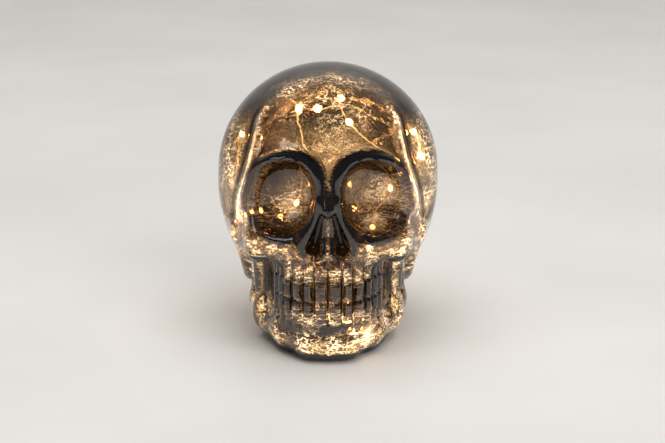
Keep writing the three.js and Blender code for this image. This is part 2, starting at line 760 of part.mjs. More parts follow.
function housingSolid() {
  let solid = solidOf(slab(oval(flangeHalfX, flangeHalfY), flangeRise, flangeTop));
  const wall = solidOf(slab(oval(barrelHalfX, barrelHalfY), flangeTop - flangeThickness / 2, barrelTop));
  const room = solidOf(slab(oval(barrelHalfX - barrelWall, barrelHalfY - barrelWall), flangeTop,
    barrelTop + overrun));
  solid = solid.add(wall).subtract(room);
  solid = solid.add(block(0, 0, bayHalfX + bayWall, bayHalfY + bayWall, flangeRise, roofTop, doorCorner));
  for (const [x, y] of screwPlaces) {
    solid = solid.add(rod(x, y, bossDiameter / 2, flangeRise + flangeThickness / 2, barrelTop, 12));
  }
  for (const side of [-1, 1]) {
    const x = side * (boardLength / 2 - boardPostDiameter);
    solid = solid.add(rod(x, boardY, boardPostDiameter / 2, roofTop - bayRoof / 2, boardLevel, 8));
  }
  solid = solid.subtract(block(0, 0, bayHalfX, bayHalfY, flangeRise - overrun, roofLow));
  solid = solid.subtract(block(0, 0, doorHalfX + doorGap, doorHalfY + doorGap, flangeRise - overrun,
    doorTop + runGap, seatCorner));
  for (const x of hookPlaces) {
    solid = solid.subtract(block(x, hingeY + bayWall / 2, hookWidth / 2 + runGap, bayWall + doorThickness / 2,
      doorTop, hingeLevel + hookSwing + runGap));
  }
  solid = solid.subtract(block(0, -bayHalfY - bayWall / 2, latchWidth / 2 + runGap, bayWall,
    doorTop, doorTop + latchHeight + doorThickness / 2 + runGap));
  solid = solid.subtract(rod(0, -doorHalfY - doorGap, scoopRadius, flangeRise - overrun,
    flangeRise + scoopDepth, 20));
  const pocketX = stemWidth / 2 + pocketMargin;
  const slotY = (sliderTravel + stemLength) / 2;
  solid = solid.subtract(block(switchX, 0, pocketX, slotY + pocketMargin, flangeRise - overrun,
    flangeRise + pocketDepth, pocketMargin / 2));
  solid = solid.subtract(block(switchX, 0, stemWidth / 2 + slotGap, slotY + slotGap, flangeRise - overrun,
    flangeTop + overrun));
  for (const [x, y] of screwPlaces) {
    solid = solid.subtract(rod(x, y, screwDiameter / 2 + runGap, coverTop - screwLength - runGap,
      barrelTop + overrun, 8));
  }
  for (const [x, end] of tabPlaces) {
    solid = solid.subtract(block(x, end * (bayHalfY - contactThickness / 2), contactTab / 2 + runGap,
      contactThickness / 2 + runGap, roofLow - overrun, roofTop + overrun));
  }
  return solid;
}

function doorSolid() {
  let solid = block(0, 0, doorHalfX, doorHalfY, flangeRise, doorTop, doorCorner);
  // The hinge end is rounded about the line that the door turns on
  const half = doorThickness / 2;
  const side = [];
  const steps = 8;
  for (let i = 0; i <= steps; i++) {
    const angle = Math.PI / 2 - i / steps * Math.PI;
    side.push(new THREE.Vector2(hingeY + half * Math.cos(angle), hingeLevel + half * Math.sin(angle)));
  }
  side.push(new THREE.Vector2(-doorHalfY - overrun, hingeLevel - half));
  side.push(new THREE.Vector2(-doorHalfY - overrun, hingeLevel + half));
  const edge = new THREE.ExtrudeGeometry(new THREE.Shape(side), {
    depth: 2 * (doorHalfX + overrun), bevelEnabled: false,
  });
  edge.applyMatrix4(new THREE.Matrix4().set(0, 0, 1, -doorHalfX - overrun, 1, 0, 0, 0, 0, 1, 0, 0, 0, 0, 0, 1));
  solid = solid.intersect(solidOf(edge));
  const hookLow = flangeTop + runGap;
  const hookBack = hingeY;
  for (const x of hookPlaces) {
    solid = solid.add(block(x, hookBack + half / 2, hookWidth / 2, half / 2, hingeLevel, hookLow + hookThickness));
    solid = solid.add(block(x, (hookBack + doorHalfY + hookReach) / 2, hookWidth / 2,
      (doorHalfY + hookReach - hookBack) / 2, hookLow, hookLow + hookThickness));
  }
  const latchFace = -doorHalfY;
  const latchIn = latchThickness / 2 + latchNub;
  solid = solid.add(block(0, latchFace + latchIn, latchWidth / 2, latchThickness / 2, hingeLevel,
    doorTop + latchHeight));
  solid = solid.add(block(0, latchFace + latchNub / 2, latchWidth / 2, latchNub, flangeTop + runGap,
    flangeTop + runGap + hookThickness));
  for (let i = 0; i < gripCount; i++) {
    const y = -doorHalfY + bayWall + gripPitch * (i + 1);
    solid = solid.subtract(block(0, y, gripLength / 2, gripWidth / 2, flangeRise - overrun,
      flangeRise + gripDepth));
  }
  return solid;
}

const boardY = boardWidth / 2 + contactGap;
const wireExit = [0, boardY + boardWidth / 4];

function coverSolid() {
  let solid = solidOf(slab(oval(barrelHalfX, barrelHalfY), barrelTop, coverTop));
  const lipX = barrelHalfX - barrelWall - runGap;
  const lipY = barrelHalfY - barrelWall - runGap;
  const lip = solidOf(slab(oval(lipX, lipY), barrelTop - coverLip, barrelTop + coverThickness / 2,
    [oval(lipX - coverLipWall, lipY - coverLipWall)]));
  solid = solid.add(lip);
  for (const [x, y] of screwPlaces) {
    solid = solid.subtract(rod(x, y, bossDiameter / 2 + runGap, barrelTop - coverLip - overrun, barrelTop, 12));
    solid = solid.subtract(rod(x, y, screwDiameter / 2 + runGap, barrelTop - overrun, coverTop + overrun, 8));
  }
  return solid.subtract(rod(wireExit[0], wireExit[1], grommetBody / 2 + runGap, barrelTop - overrun,
    coverTop + overrun, 12));
}

function screwGeometry() {
  const shank = screwDiameter / 2;
  const head = screwHead / 2;
  const solid = solidOf(upright(revolve([
    [0, -screwLength], [shank, -screwLength + 2 * shank], [shank, 0], [head, 0],
    [head, screwHeadHeight * 0.4], [head * 0.7, screwHeadHeight], [0, screwHeadHeight],
  ], 10)));
  const slot = screwSocket / 4;
  const cut = (halfX, halfY) => block(0, 0, halfX, halfY, screwHeadHeight - screwSocket / 2,
    screwHeadHeight + overrun);
  return geometryOf(solid.subtract(cut(head * 0.6, slot)).subtract(cut(slot, head * 0.6)));
}

function cellGeometry(end) {
  const r = cellDiameter / 2;
  const nub = nubDiameter / 2;
  const half = cellLength / 2;
  const profile = [
    [0, -half], [r - 2 * cellShoulder, -half], [r, -half + cellShoulder], [r, half - nubLength - cellShoulder],
    [r - cellShoulder, half - nubLength], [nub + cellShoulder, half - nubLength], [nub, half - nubLength + cellShoulder],
    [nub, half - cellShoulder / 2], [nub - cellShoulder, half], [0, half],
  ];
  const geometry = revolve(profile, 16);
  return end > 0 ? geometry : geometry.rotateX(Math.PI);
}

// A tube swept through rings of points, closed at both ends
function sweep(path, radius, sides) {
  const rings = [];
  let normal = new THREE.Vector3(0, 0, 1);
  path.forEach((point, i) => {
    const before = path[Math.max(0, i - 1)];
    const after = path[Math.min(path.length - 1, i + 1)];
    const along = after.clone().sub(before).normalize();
    normal = normal.clone().sub(along.clone().multiplyScalar(normal.dot(along)));
    if (normal.length() < 0.1) normal = new THREE.Vector3(1, 0, 0).sub(along.clone().multiplyScalar(along.x));
    normal.normalize();
    const side = along.clone().cross(normal);
    const ring = [];
    for (let k = 0; k < sides; k++) {
      const angle = k / sides * 2 * Math.PI;
      ring.push(point.clone().add(normal.clone().multiplyScalar(Math.cos(angle) * radius))
        .add(side.clone().multiplyScalar(Math.sin(angle) * radius)));
    }
    rings.push(ring);
  });
  const vertices = rings.flat().concat([path[0], path[path.length - 1]]);
  const faces = [];
  const last = (rings.length - 1) * sides;
  for (let k = 0; k < sides; k++) {
    const n = (k + 1) % sides;
    for (let i = 0; i < rings.length - 1; i++) {
      const low = i * sides;
      const high = low + sides;
      faces.push(low + k, low + n, high + n, low + k, high + n, high + k);
    }
    faces.push(vertices.length - 2, n, k);
    faces.push(vertices.length - 1, last + k, last + n);
  }
  const geometry = new THREE.BufferGeometry();
  geometry.setAttribute('position', new THREE.Float32BufferAttribute(vertices.flatMap((v) => v.toArray()), 3));
  geometry.setIndex(faces);
  geometry.computeVertexNormals();
  return geometry;
}

const curlSteps = 8;
const springRise = springLength - springWire;

function springPath() {
  const path = [];
  const count = springTurns * curlSteps;
  const radius = (springDiameter - springWire) / 2;
  for (let i = 0; i <= count; i++) {
    const angle = i / curlSteps * 2 * Math.PI;
    path.push(new THREE.Vector3(Math.cos(angle) * radius, springWire / 2 + springRise * i / count,
      Math.sin(angle) * radius));
  }
  return path;
}

function leastSelfGap(path, thickness, apart) {
  let least = Infinity;
  for (let i = 0; i < path.length; i++) {
    for (let k = i + apart; k < path.length; k++) least = Math.min(least, path[i].distanceTo(path[k]));
  }
  return least - thickness;
}

function contactSolid(from, to, tabAt) {
  const middle = (from + to) / 2;
  const half = (to - from) / 2 + contactWidth / 2;
  const low = cellLevel - contactHeight / 2;
  const high = cellLevel + contactHeight / 2;
  let solid = block(middle, 0, half, contactThickness / 2, low, high);
  if (tabAt !== null) {
    solid = solid.add(block(tabAt, 0, contactTab / 2, contactThickness / 2, high - contactThickness,
      boardLevel));
  }
  return solid;
}

// The light string's route, each place a bead or a bend. Round the light unit it is in shares of the barrel's
// half width and depth and of the cover's level, and above it in shares of the room inside the glass.
const roomSize = [skullWidth - 2 * glassWall, skullDepth - 2 * glassWall, skullHeight - glassWall];
const unitSize = [barrelHalfX, barrelHalfY, coverTop];
const lowRouteShares = [
  { at: [0, 0.5461, 1.4932] },
  { at: [0.2647, -0.4884, 1.4932] },
  { at: [0.4537, -0.92, 1.1312] },
  { at: [0.5141, -0.966, 0.6923], bead: true },
  { at: [0.6957, -0.89, 1.1] },
];
const highRouteShares = [
  { at: [0.1877, -0.2793, 0.299] },
  { at: [0.1998, -0.2867, 0.4555], bead: true },
  { at: [0.2215, -0.2513, 0.5285] },
  { at: [0.2919, -0.2439, 0.612], bead: true },
  { at: [0.2259, -0.2697, 0.751] },
  { at: [0.0938, -0.2675, 0.8588], bead: true },
  { at: [0.0573, -0.1988, 0.9061] },
  { at: [0.0599, -0.0954, 0.9131], bead: true },
  { at: [0.2346, -0.0881, 0.8797] },
  { at: [0.4014, -0.0068, 0.7705], bead: true },
  { at: [0.4327, 0.008, 0.7197] },
  { at: [0.4431, 0.0375, 0.6641], bead: true },
  { at: [0.3962, 0.1852, 0.5702] },
  { at: [0.2433, 0.2886, 0.4172] },
  { at: [0.0851, 0.2738, 0.3755], bead: true },
  { at: [0.1129, 0.3477, 0.5007] },
  { at: [0.278, 0.2591, 0.6954] },
  { at: [0.3649, 0.0301, 0.7684] },
  { at: [0.2198, -0.0733, 0.8296] },
  { at: [0.0973, -0.1545, 0.8971] },
  { at: [-0.046, -0.221, 0.8957], bead: true },
  { at: [-0.0912, -0.2291, 0.8992] },
  { at: [-0.1303, -0.1855, 0.8915], bead: true },
  { at: [-0.1147, -0.2727, 0.7997] },
  { at: [-0.106, -0.2653, 0.7093] },
  { at: [-0.1381, -0.2439, 0.5501], bead: true },
  { at: [-0.2259, -0.2143, 0.4937] },
  { at: [-0.3293, -0.1774, 0.4986], bead: true },
  { at: [-0.4118, -0.0364, 0.6259] },
  { at: [-0.4118, 0.0153, 0.758], bead: true },
  { at: [-0.3736, 0.1852, 0.6259] },
  { at: [-0.2911, 0.2443, 0.4312] },
  { at: [-0.2294, 0.2325, 0.3352], bead: true },
  { at: [-0.139, 0.3329, 0.3894] },
  { at: [0.0174, 0.4046, 0.5007], bead: true },
  { at: [0.1129, 0.3986, 0.4659] },
];
const placesOf = (route, scale, shiftY) => route.map(({ at, bead }) => ({
  at: at.map((v, i) => v * scale[i] + (i === 1 ? shiftY : 0)), bead,
}));
const stringPlaces = placesOf(lowRouteShares, unitSize, neckY).concat(placesOf(highRouteShares, roomSize, 0));

const wireStart = new THREE.Vector3(wireExit[0], wireExit[1] + neckY, boardTop + runGap);
const wireOut = new THREE.Vector3(wireExit[0], wireExit[1] + neckY, coverTop + grommetLip + grommetBody / 2);
const beads = [];

function stringPath() {
  const places = stringPlaces.map((place) => new THREE.Vector3(...place.at));
  const guide = [wireOut, ...places];
  const path = [wireStart, wireOut.clone()];
  const tangent = (i) => {
    const before = guide[Math.max(0, i - 1)];
    const after = guide[Math.min(guide.length - 1, i + 1)];
    return after.clone().sub(before).normalize();
  };
  const stops = guide.map((point, i) => {
    const way = i === 0 ? new THREE.Vector3(0, 0, 1) : tangent(i);
    const bead = i > 0 && stringPlaces[i - 1].bead === true;
    const half = bead ? beadRun / 2 : 0;
    if (bead) beads.push({ at: point, way });
    return { first: point.clone().addScaledVector(way, -half), last: point.clone().addScaledVector(way, half),
      way, bead };
  });
  for (let i = 1; i < stops.length; i++) {
    const a = stops[i - 1];
    const b = stops[i];
    const pull = a.last.distanceTo(b.first) / 3;
    const curve = new THREE.CubicBezierCurve3(a.last, a.last.clone().addScaledVector(a.way, pull),
      b.first.clone().addScaledVector(b.way, -pull), b.first);
    const steps = 3;
    for (let k = 1; k <= steps; k++) path.push(curve.getPoint(k / steps));
    if (b.bead) path.push(b.last.clone());
  }
  return path;
}

class StringCurve extends THREE.Curve {
  constructor(points) {
    super();
    this.points = points;
  }

  getPointAt(u) {
    return this.points[Math.round(u * (this.points.length - 1))].clone();
  }

  getTangentAt(u) {
    const i = Math.round(u * (this.points.length - 1));
    const before = this.points[Math.max(0, i - 1)];
    const after = this.points[Math.min(this.points.length - 1, i + 1)];
    return after.clone().sub(before).normalize();
  }
}

function stringGeometry(points) {
  const section = new THREE.Shape(disc(0, 0, wireDiameter / 2, 5));
  return new THREE.ExtrudeGeometry(section, {
    steps: points.length - 1, extrudePath: new StringCurve(points), bevelEnabled: false,
  });
}

function beadGeometry() {
  const bore = beadBore / 2;
  const r = beadDiameter / 2;
  const half = beadLength / 2;
  return revolve([
    [bore, -half], [r * 0.7, -half * 0.8], [r, -half * 0.2], [r, half * 0.2], [r * 0.7, half * 0.8],
    [bore, half], [bore, -half],
  ], 8);
}

function grommetGeometry() {
  const bore = grommetBore / 2;
  return upright(revolve([
    [bore, -coverThickness], [grommetBody / 2, -coverThickness], [grommetBody / 2, 0], [grommetFlange / 2, 0],
    [grommetFlange / 2, grommetLip * 0.6], [grommetFlange / 2 - grommetLip / 2, grommetLip],
    [bore, grommetLip], [bore, -coverThickness],
  ], 16));
}

function leadPath(from, to) {
  const lift = chipHeight / 2;
  const curve = new THREE.CubicBezierCurve3(from, from.clone().add(new THREE.Vector3(0, 0, lift)),
    to.clone().add(new THREE.Vector3(0, from.y > to.y ? lift : -lift, lift)), to);
  return curve.getPoints(6);
}

// Assembly
const group = new THREE.Group();
const lightUnit = new THREE.Group();
lightUnit.position.set(0, neckY, 0);

function piece(parent, name, geometry, colour, roughness, metalness, place = [0, 0, 0]) {
  const material = new THREE.MeshStandardMaterial({ color: colour, roughness, metalness });
  const mesh = new THREE.Mesh(geometry, material);
  mesh.name = name;
  mesh.position.set(...place);
  parent.add(mesh);
  return mesh;
}

piece(group, 'glass_skull', geometryOf(glassSolid()), 0x6f6a63, 0.05, 0.1);
piece(lightUnit, 'bond_ring', slab(oval(flangeHalfX - sealInset, flangeHalfY - sealInset), flangeTop, ledgeLevel,
  [oval(barrelHalfX + neckGap + sealInset, barrelHalfY + neckGap + sealInset)]), 0xd9d9d4, 0.5, 0);
piece(lightUnit, 'battery_housing', geometryOf(housingSolid()), 0x17171a, 0.55, 0);
piece(lightUnit, 'battery_door', geometryOf(doorSolid()), 0x17171a, 0.55, 0);
piece(lightUnit, 'housing_cover', geometryOf(coverSolid()), 0x1b1b1e, 0.5, 0);
screwPlaces.forEach(([x, y], i) => {
  piece(lightUnit, `cover_screw_${i + 1}`, screwGeometry(), 0x9a9a9c, 0.35, 0.9, [x, y, coverTop]);
});

const nubEnd = bayHalfY - contactThickness - contactGap;
for (let i = 0; i < cellCount; i++) {
  const x = (i - (cellCount - 1) / 2) * cellPitch;
  const end = i % 2 === 0 ? 1 : -1;
  piece(lightUnit, `cell_${i + 1}`, cellGeometry(end), 0x2f5d3a, 0.4, 0.2,
    [x, end * (nubEnd - cellLength / 2), cellLevel]);
  const spring = sweep(springPath(), springWire / 2, 5);
  if (end < 0) spring.rotateX(Math.PI);
  piece(lightUnit, `contact_spring_${i + 1}`, spring, 0xc9c9c4, 0.3, 1,
    [x, -end * (bayHalfY - contactThickness), cellLevel]);
}
console.log('least gap of a contact spring to itself',
  leastSelfGap(springPath(), springWire, curlSteps / 2 + 1).toFixed(2), 'mm');

const plateY = bayHalfY - contactThickness / 2;
const plates = [
  ['contact_plate_negative', -cellPitch, -cellPitch, -1, -cellPitch],
  ['contact_plate_bridge_1', -cellPitch, 0, 1, null],
  ['contact_plate_bridge_2', 0, cellPitch, -1, null],
  ['contact_plate_positive', cellPitch, cellPitch, 1, cellPitch],
];
for (const [name, from, to, end, tabAt] of plates) {
  piece(lightUnit, name, geometryOf(contactSolid(from, to, tabAt)), 0xc9c9c4, 0.3, 1, [0, end * plateY, 0]);
}

piece(lightUnit, 'timer_board', slab(panel(0, boardY, boardLength / 2, boardWidth / 2), boardLevel, boardTop),
  0x2d6b3c, 0.5, 0);
piece(lightUnit, 'timer_chip', upright(revolve([
  [0, 0], [chipDiameter / 2, 0], [chipDiameter * 0.45, chipHeight * 0.6], [chipDiameter * 0.25, chipHeight],
  [0, chipHeight],
], 14)), 0x101012, 0.25, 0, [-boardLength / 4, boardY, boardTop]);

const leadEnds = tabPlaces.map(([x, end]) => {
  const from = new THREE.Vector3(x, end * plateY, boardLevel + leadDiameter / 2 + runGap);
  const edge = end > 0 ? boardY + boardWidth / 2 - leadDiameter : boardY - boardWidth / 2 + leadDiameter;
  const side = Math.sign(x) * (boardLength / 2 - leadInset);
  const to = new THREE.Vector3(side, edge, boardTop + leadDiameter / 2 + runGap / 2);
  return [from, to];
});
piece(lightUnit, 'battery_lead_black', sweep(leadPath(...leadEnds[0]), leadDiameter / 2, 6), 0x0f0f10, 0.5, 0);
piece(lightUnit, 'battery_lead_red', sweep(leadPath(...leadEnds[1]), leadDiameter / 2, 6), 0xa01818, 0.5, 0);

const bodyHalfY = switchLength / 2;
const switchSolid = block(switchX, 0, switchWidth / 2, bodyHalfY, flangeTop, flangeTop + switchHeight)
  .subtract(block(switchX, 0, switchWidth / 2 - switchWall, bodyHalfY - switchWall, flangeTop - overrun,
    flangeTop + runGap + sliderHead + runGap));
piece(lightUnit, 'switch_body', geometryOf(switchSolid), 0xb9bab8, 0.35, 0.8);
const sliderSolid = block(switchX, 0, sliderWidth / 2, sliderLength / 2, flangeTop + runGap,
  flangeTop + runGap + sliderHead)
  .add(block(switchX, 0, stemWidth / 2, stemLength / 2, flangeRise + stemInset, flangeTop + runGap + sliderHead / 2));
piece(lightUnit, 'switch_slider', geometryOf(sliderSolid), 0x1a1a1c, 0.5, 0, [0, sliderTravel / 2, 0]);
piece(lightUnit, 'wire_grommet', grommetGeometry(), 0x222224, 0.8, 0, [wireExit[0], wireExit[1], coverTop]);
group.add(lightUnit);

const wirePoints = stringPath();
piece(group, 'light_wire', stringGeometry(wirePoints), 0xb8763a, 0.35, 0.9);
beads.forEach((bead, i) => {
  const mesh = piece(group, `led_bead_${String(i + 1).padStart(2, '0')}`, beadGeometry(), 0xffe2a8, 0.2, 0,
    bead.at.toArray());
  mesh.quaternion.setFromUnitVectors(new THREE.Vector3(0, 1, 0), bead.way);
});

// Stand the skull over the origin
const box = new THREE.Box3().setFromObject(group.children[0]);
const middle = box.getCenter(new THREE.Vector3());
group.position.set(-middle.x, -middle.y, 0);

export default group;
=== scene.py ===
import math

import bmesh
import bpy
import numpy as np
from mathutils import Matrix, Vector


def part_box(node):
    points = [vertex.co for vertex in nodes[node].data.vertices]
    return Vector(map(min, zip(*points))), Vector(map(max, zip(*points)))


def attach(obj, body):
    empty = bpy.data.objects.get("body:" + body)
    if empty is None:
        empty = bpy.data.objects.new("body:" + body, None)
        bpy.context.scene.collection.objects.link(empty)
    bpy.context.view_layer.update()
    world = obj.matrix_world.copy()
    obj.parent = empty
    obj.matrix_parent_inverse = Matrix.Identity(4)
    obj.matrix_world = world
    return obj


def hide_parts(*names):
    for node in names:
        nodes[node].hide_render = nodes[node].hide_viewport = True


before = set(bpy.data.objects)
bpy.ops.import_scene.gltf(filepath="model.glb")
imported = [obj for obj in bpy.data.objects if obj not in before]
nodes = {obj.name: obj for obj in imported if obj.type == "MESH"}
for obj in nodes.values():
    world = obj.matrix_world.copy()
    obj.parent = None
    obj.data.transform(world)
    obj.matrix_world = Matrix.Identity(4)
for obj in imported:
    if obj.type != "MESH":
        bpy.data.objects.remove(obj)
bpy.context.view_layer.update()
scene = bpy.context.scene
scene.view_settings.view_transform = "Standard"
mm = 0.001


# Camera, at the photograph's angle
camera = {
    "target": (0.0, 0.0, 0.075),
    "distance": 0.9,
    "elevation": 15.0,
    "lens": 88.5,
    "sensor": 36.0,
    "centre": (328.0, 193.8),  # where the target lies in the picture, in pixels
    "picture": (665, 443),
}


def makeCamera(c):
    data = bpy.data.cameras.new("camera")
    obj = bpy.data.objects.new("camera", data)
    scene.collection.objects.link(obj)
    e = math.radians(c["elevation"])
    back = Vector((0.0, -math.cos(e), math.sin(e)))
    obj.location = Vector(c["target"]) + back * c["distance"]
    obj.rotation_euler = (-back).to_track_quat("-Z", "Y").to_euler()
    data.lens = c["lens"]
    data.sensor_width = c["sensor"]
    wide, high = c["picture"]
    data.shift_x = (wide / 2 - c["centre"][0]) / wide
    data.shift_y = -(high / 2 - c["centre"][1]) / wide
    scene.camera = obj


makeCamera(camera)
print("camera placed")


# Small helpers
def pieceFrom(bm, name, material, body, hides):
    mesh = bpy.data.meshes.new(name)
    bm.to_mesh(mesh)
    bm.free()
    obj = bpy.data.objects.new(name, mesh)
    scene.collection.objects.link(obj)
    mesh.materials.append(material)
    mesh.shade_smooth()
    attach(obj, body)
    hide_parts(*hides)
    return obj


def dress(material, *names):
    for name in names:
        mesh = nodes[name].data
        mesh.materials.clear()
        mesh.materials.append(material)


class Paint:
    # A short way to lay out a node material
    def __init__(self, name):
        self.material = bpy.data.materials.new(name)
        self.material.use_nodes = True
        self.tree = self.material.node_tree
        self.shader = self.tree.nodes["Principled BSDF"]
        self.output = self.tree.nodes["Material Output"]
        self.place = self.add("ShaderNodeTexCoord").outputs["Object"]

    def add(self, kind, **settings):
        node = self.tree.nodes.new(kind)
        for key, value in settings.items():
            setattr(node, key, value)
        return node

    def link(self, source, target):
        self.tree.links.new(source, target)

    def setShader(self, **values):
        for key, value in values.items():
            self.shader.inputs[key.replace("_", " ")].default_value = value

    def noise(self, scale, detail=4.0, rough=0.55, place=None):
        node = self.add("ShaderNodeTexNoise")
        node.inputs["Scale"].default_value = scale
        node.inputs["Detail"].default_value = detail
        node.inputs["Roughness"].default_value = rough
        self.link(place or self.place, node.inputs["Vector"])
        return node.outputs["Fac"]

    def ramp(self, source, stops):
        node = self.add("ShaderNodeValToRGB")
        line = node.color_ramp
        while len(line.elements) < len(stops):
            line.elements.new(0.5)
        for element, (at, colour) in zip(line.elements, stops):
            element.position = at
            element.color = (*colour, 1.0)
        self.link(source, node.inputs["Fac"])
        return node.outputs["Color"]

    def spread(self, source, low, high, fromLow=0.0, fromHigh=1.0):
        node = self.add("ShaderNodeMapRange")
        node.inputs["From Min"].default_value = fromLow
        node.inputs["From Max"].default_value = fromHigh
        node.inputs["To Min"].default_value = low
        node.inputs["To Max"].default_value = high
        self.link(source, node.inputs["Value"])
        return node.outputs["Result"]

    def feed(self, source, target):
        # A fixed number goes on the socket itself, and anything else is linked
        if isinstance(source, float):
            target.default_value = source
        else:
            self.link(source, target)

    def reckon(self, kind, a, b=0.0):
        node = self.add("ShaderNodeMath", operation=kind)
        self.feed(a, node.inputs[0])
        self.feed(b, node.inputs[1])
        return node.outputs["Value"]

    def mixed(self, share, a, b, blend="MIX"):
        node = self.add("ShaderNodeMix", data_type="RGBA", blend_type=blend)
        for source, at in ((share, 0), (a, 6), (b, 7)):
            self.feed(source, node.inputs[at])
        return node.outputs[2]

    def bump(self, source, strength, distance):
        node = self.add("ShaderNodeBump")
        node.inputs["Strength"].default_value = strength
        node.inputs["Distance"].default_value = distance
        self.link(source, node.inputs["Height"])
        self.link(node.outputs["Normal"], self.shader.inputs["Normal"])

    def colour(self, source):
        self.link(source, self.shader.inputs["Base Color"])

    def roughness(self, source):
        self.link(source, self.shader.inputs["Roughness"])


# Light string, in millimetres: the part's own route, where a fourth value marks a drop
string = {
    "start": (0.0, -4.03, 18.3),
    "out": (0.0, -4.03, 25.2),
    "strand": 0.4,  # thickness of one lacquered strand of the pair
    "width": 0.8,
    "segments": 8,
    "twist": 17.0,  # run in which the pair makes a full turn
    "steps": 10,
    "dropRun": 5.8,  # straight stretch that carries a drop
    "paintedGlow": 10.0,  # painted glow: light that the wire gives off though it is no lamp, set so that it shows as in the photo
    "route": [
        (0.0, 4.9, 33.0), (7.0, -31.1, 33.0), (12.0, -46.1, 25.0), (13.6, -47.7, 15.3, "drop"),
        (18.4, -45.1, 24.3),
        (21.6, -38.9, 43.0), (23.0, -39.9, 65.5, "drop"),
        (25.5, -35.1, 76.0), (33.6, -34.1, 88.0, "drop"),
        (26.0, -37.6, 108.0), (10.8, -37.3, 123.5, "drop"),
        (6.6, -28.0, 130.3), (6.9, -14.0, 131.3, "drop"),
        (27.0, -13.0, 126.5), (46.2, -2.0, 110.8, "drop"),
        (49.8, 0.0, 103.5), (51.0, 4.0, 95.5, "drop"),
        (45.6, 24.0, 82.0), (28.0, 38.0, 60.0), (9.8, 36.0, 54.0, "drop"),
        (13.0, 46.0, 72.0), (32.0, 34.0, 100.0), (42.0, 3.0, 110.5), (25.3, -11.0, 119.3),
        (11.2, -22.0, 129.0), (-5.3, -31.0, 128.8, "drop"),
        (-10.5, -32.1, 129.3), (-15.0, -26.2, 128.2, "drop"),
        (-13.2, -38.0, 115.0), (-12.2, -37.0, 102.0), (-15.9, -34.1, 79.1, "drop"),
        (-26.0, -30.1, 71.0), (-37.9, -25.1, 71.7, "drop"),
        (-47.4, -6.0, 90.0), (-47.4, 1.0, 109.0, "drop"),
        (-43.0, 24.0, 90.0), (-33.5, 32.0, 62.0), (-26.4, 30.4, 48.2, "drop"),
        (-16.0, 44.0, 56.0), (2.0, 53.7, 72.0, "drop"),
        (13.0, 52.9, 67.0),
    ],
}


def smoothRun(a, aWay, b, bWay, steps):
    # A smooth stretch from a to b that leaves and arrives along the given ways
    pull = (b - a).length / 3
    c, d = a + aWay * pull, b - bWay * pull
    points = []
    for k in range(1, steps + 1):
        t = k / steps
        points.append(a * (1 - t) ** 3 + c * 3 * t * (1 - t) ** 2 + d * 3 * t * t * (1 - t) + b * t ** 3)
    return points


def stringLine(c):
    guide = [Vector(c["out"])] + [Vector(place[:3]) for place in c["route"]]
    isDrop = [False] + [len(place) == 4 for place in c["route"]]
    line, drops = [Vector(c["start"]), guide[0].copy()], []
    last, lastWay = guide[0], Vector((0, 0, 1))
    for i in range(1, len(guide)):
        way = (guide[min(i + 1, len(guide) - 1)] - guide[i - 1]).normalized()
        half = c["dropRun"] / 2 if isDrop[i] else 0.0
        line += smoothRun(last, lastWay, guide[i] - way * half, way, c["steps"])
        if isDrop[i]:
            line.append(guide[i] + way * half)
            drops.append(way)
        last, lastWay = guide[i] + way * half, way
    return [point * mm for point in line], drops


def framesAlong(line, turnLength):
    # Frames that follow the line without rolling, but for the pair's own slow twist
    frames, run = [], 0.0
    side = Vector((1, 0, 0))
    for i, point in enumerate(line):
        way = (line[min(i + 1, len(line) - 1)] - line[max(i - 1, 0)]).normalized()
        side = (side - way * side.dot(way)).normalized()
        if i:
            run += (point - line[i - 1]).length
        turned = Matrix.Rotation(2 * math.pi * run / turnLength, 3, way) @ side
        across = way.cross(turned)
        place = Matrix((turned, across, way)).transposed().to_4x4()
        place.translation = point
        frames.append(place)
    return frames, run


def makeWire(c, material):
    line, drops = stringLine(c)
    frames, length = framesAlong(line, c["twist"] * mm)
    bm = bmesh.new()
    offset = (c["width"] - c["strand"]) / 2 * mm
    for side in (-offset, offset):
        shift = Matrix.Translation((side, 0, 0))
        made = bmesh.ops.create_circle(bm, cap_ends=False, segments=c["segments"], radius=c["strand"] / 2 * mm,
                                       matrix=frames[0] @ shift)
        ring = list(dict.fromkeys(e for v in made["verts"] for e in v.link_edges))
        first = ring
        for before, after in zip(frames, frames[1:]):
            grown = bmesh.ops.extrude_edge_only(bm, edges=ring)["geom"]
            ring = [g for g in grown if isinstance(g, bmesh.types.BMEdge)]
            bmesh.ops.transform(bm, matrix=after @ before.inverted(),
                                verts=[g for g in grown if isinstance(g, bmesh.types.BMVert)])
        for end in (first, ring):
            bmesh.ops.holes_fill(bm, edges=end, sides=0)
    bmesh.ops.recalc_face_normals(bm, faces=bm.faces)
    wire = pieceFrom(bm, "light_string_wire", material, "skull", ["light_wire"])
    print("light string:", round(length * 1000), "mm")
    return wire, line, length, drops


def lacqueredCopper():
    paint = Paint("lacqueredCopper")
    # The wire gives off painted glow in a copper tone, though it is no lamp
    paint.setShader(Metallic=1.0, Emission_Strength=string["paintedGlow"])
    tone = paint.noise(240.0, 3.0)
    paint.link(paint.ramp(tone, [(0.3, (0.62, 0.38, 0.16)), (0.7, (1.0, 0.74, 0.40))]),
               paint.shader.inputs["Emission Color"])
    paint.colour(paint.ramp(tone, [(0.3, (0.86, 0.56, 0.28)), (0.7, (0.98, 0.76, 0.46))]))
    paint.roughness(paint.spread(paint.noise(700.0), 0.18, 0.38))
    return paint.material


# Drops: clear resin round both strands, with the lit chip in the middle
drop = {
    "length": 4.6,
    "thick": 3.2,
    "steps": 14,
    "segments": 20,
    "blunt": 0.62,  # a lower power gives blunter ends
    "chip": (0.95, 1.4),  # half thickness and half length of the lit heart
    "chipNet": (14, 8),
    "heart": (1.0, 0.80, 0.50),
    "strength": 800.0,
    "haze": 110.0,  # light that the resin itself gives off
}


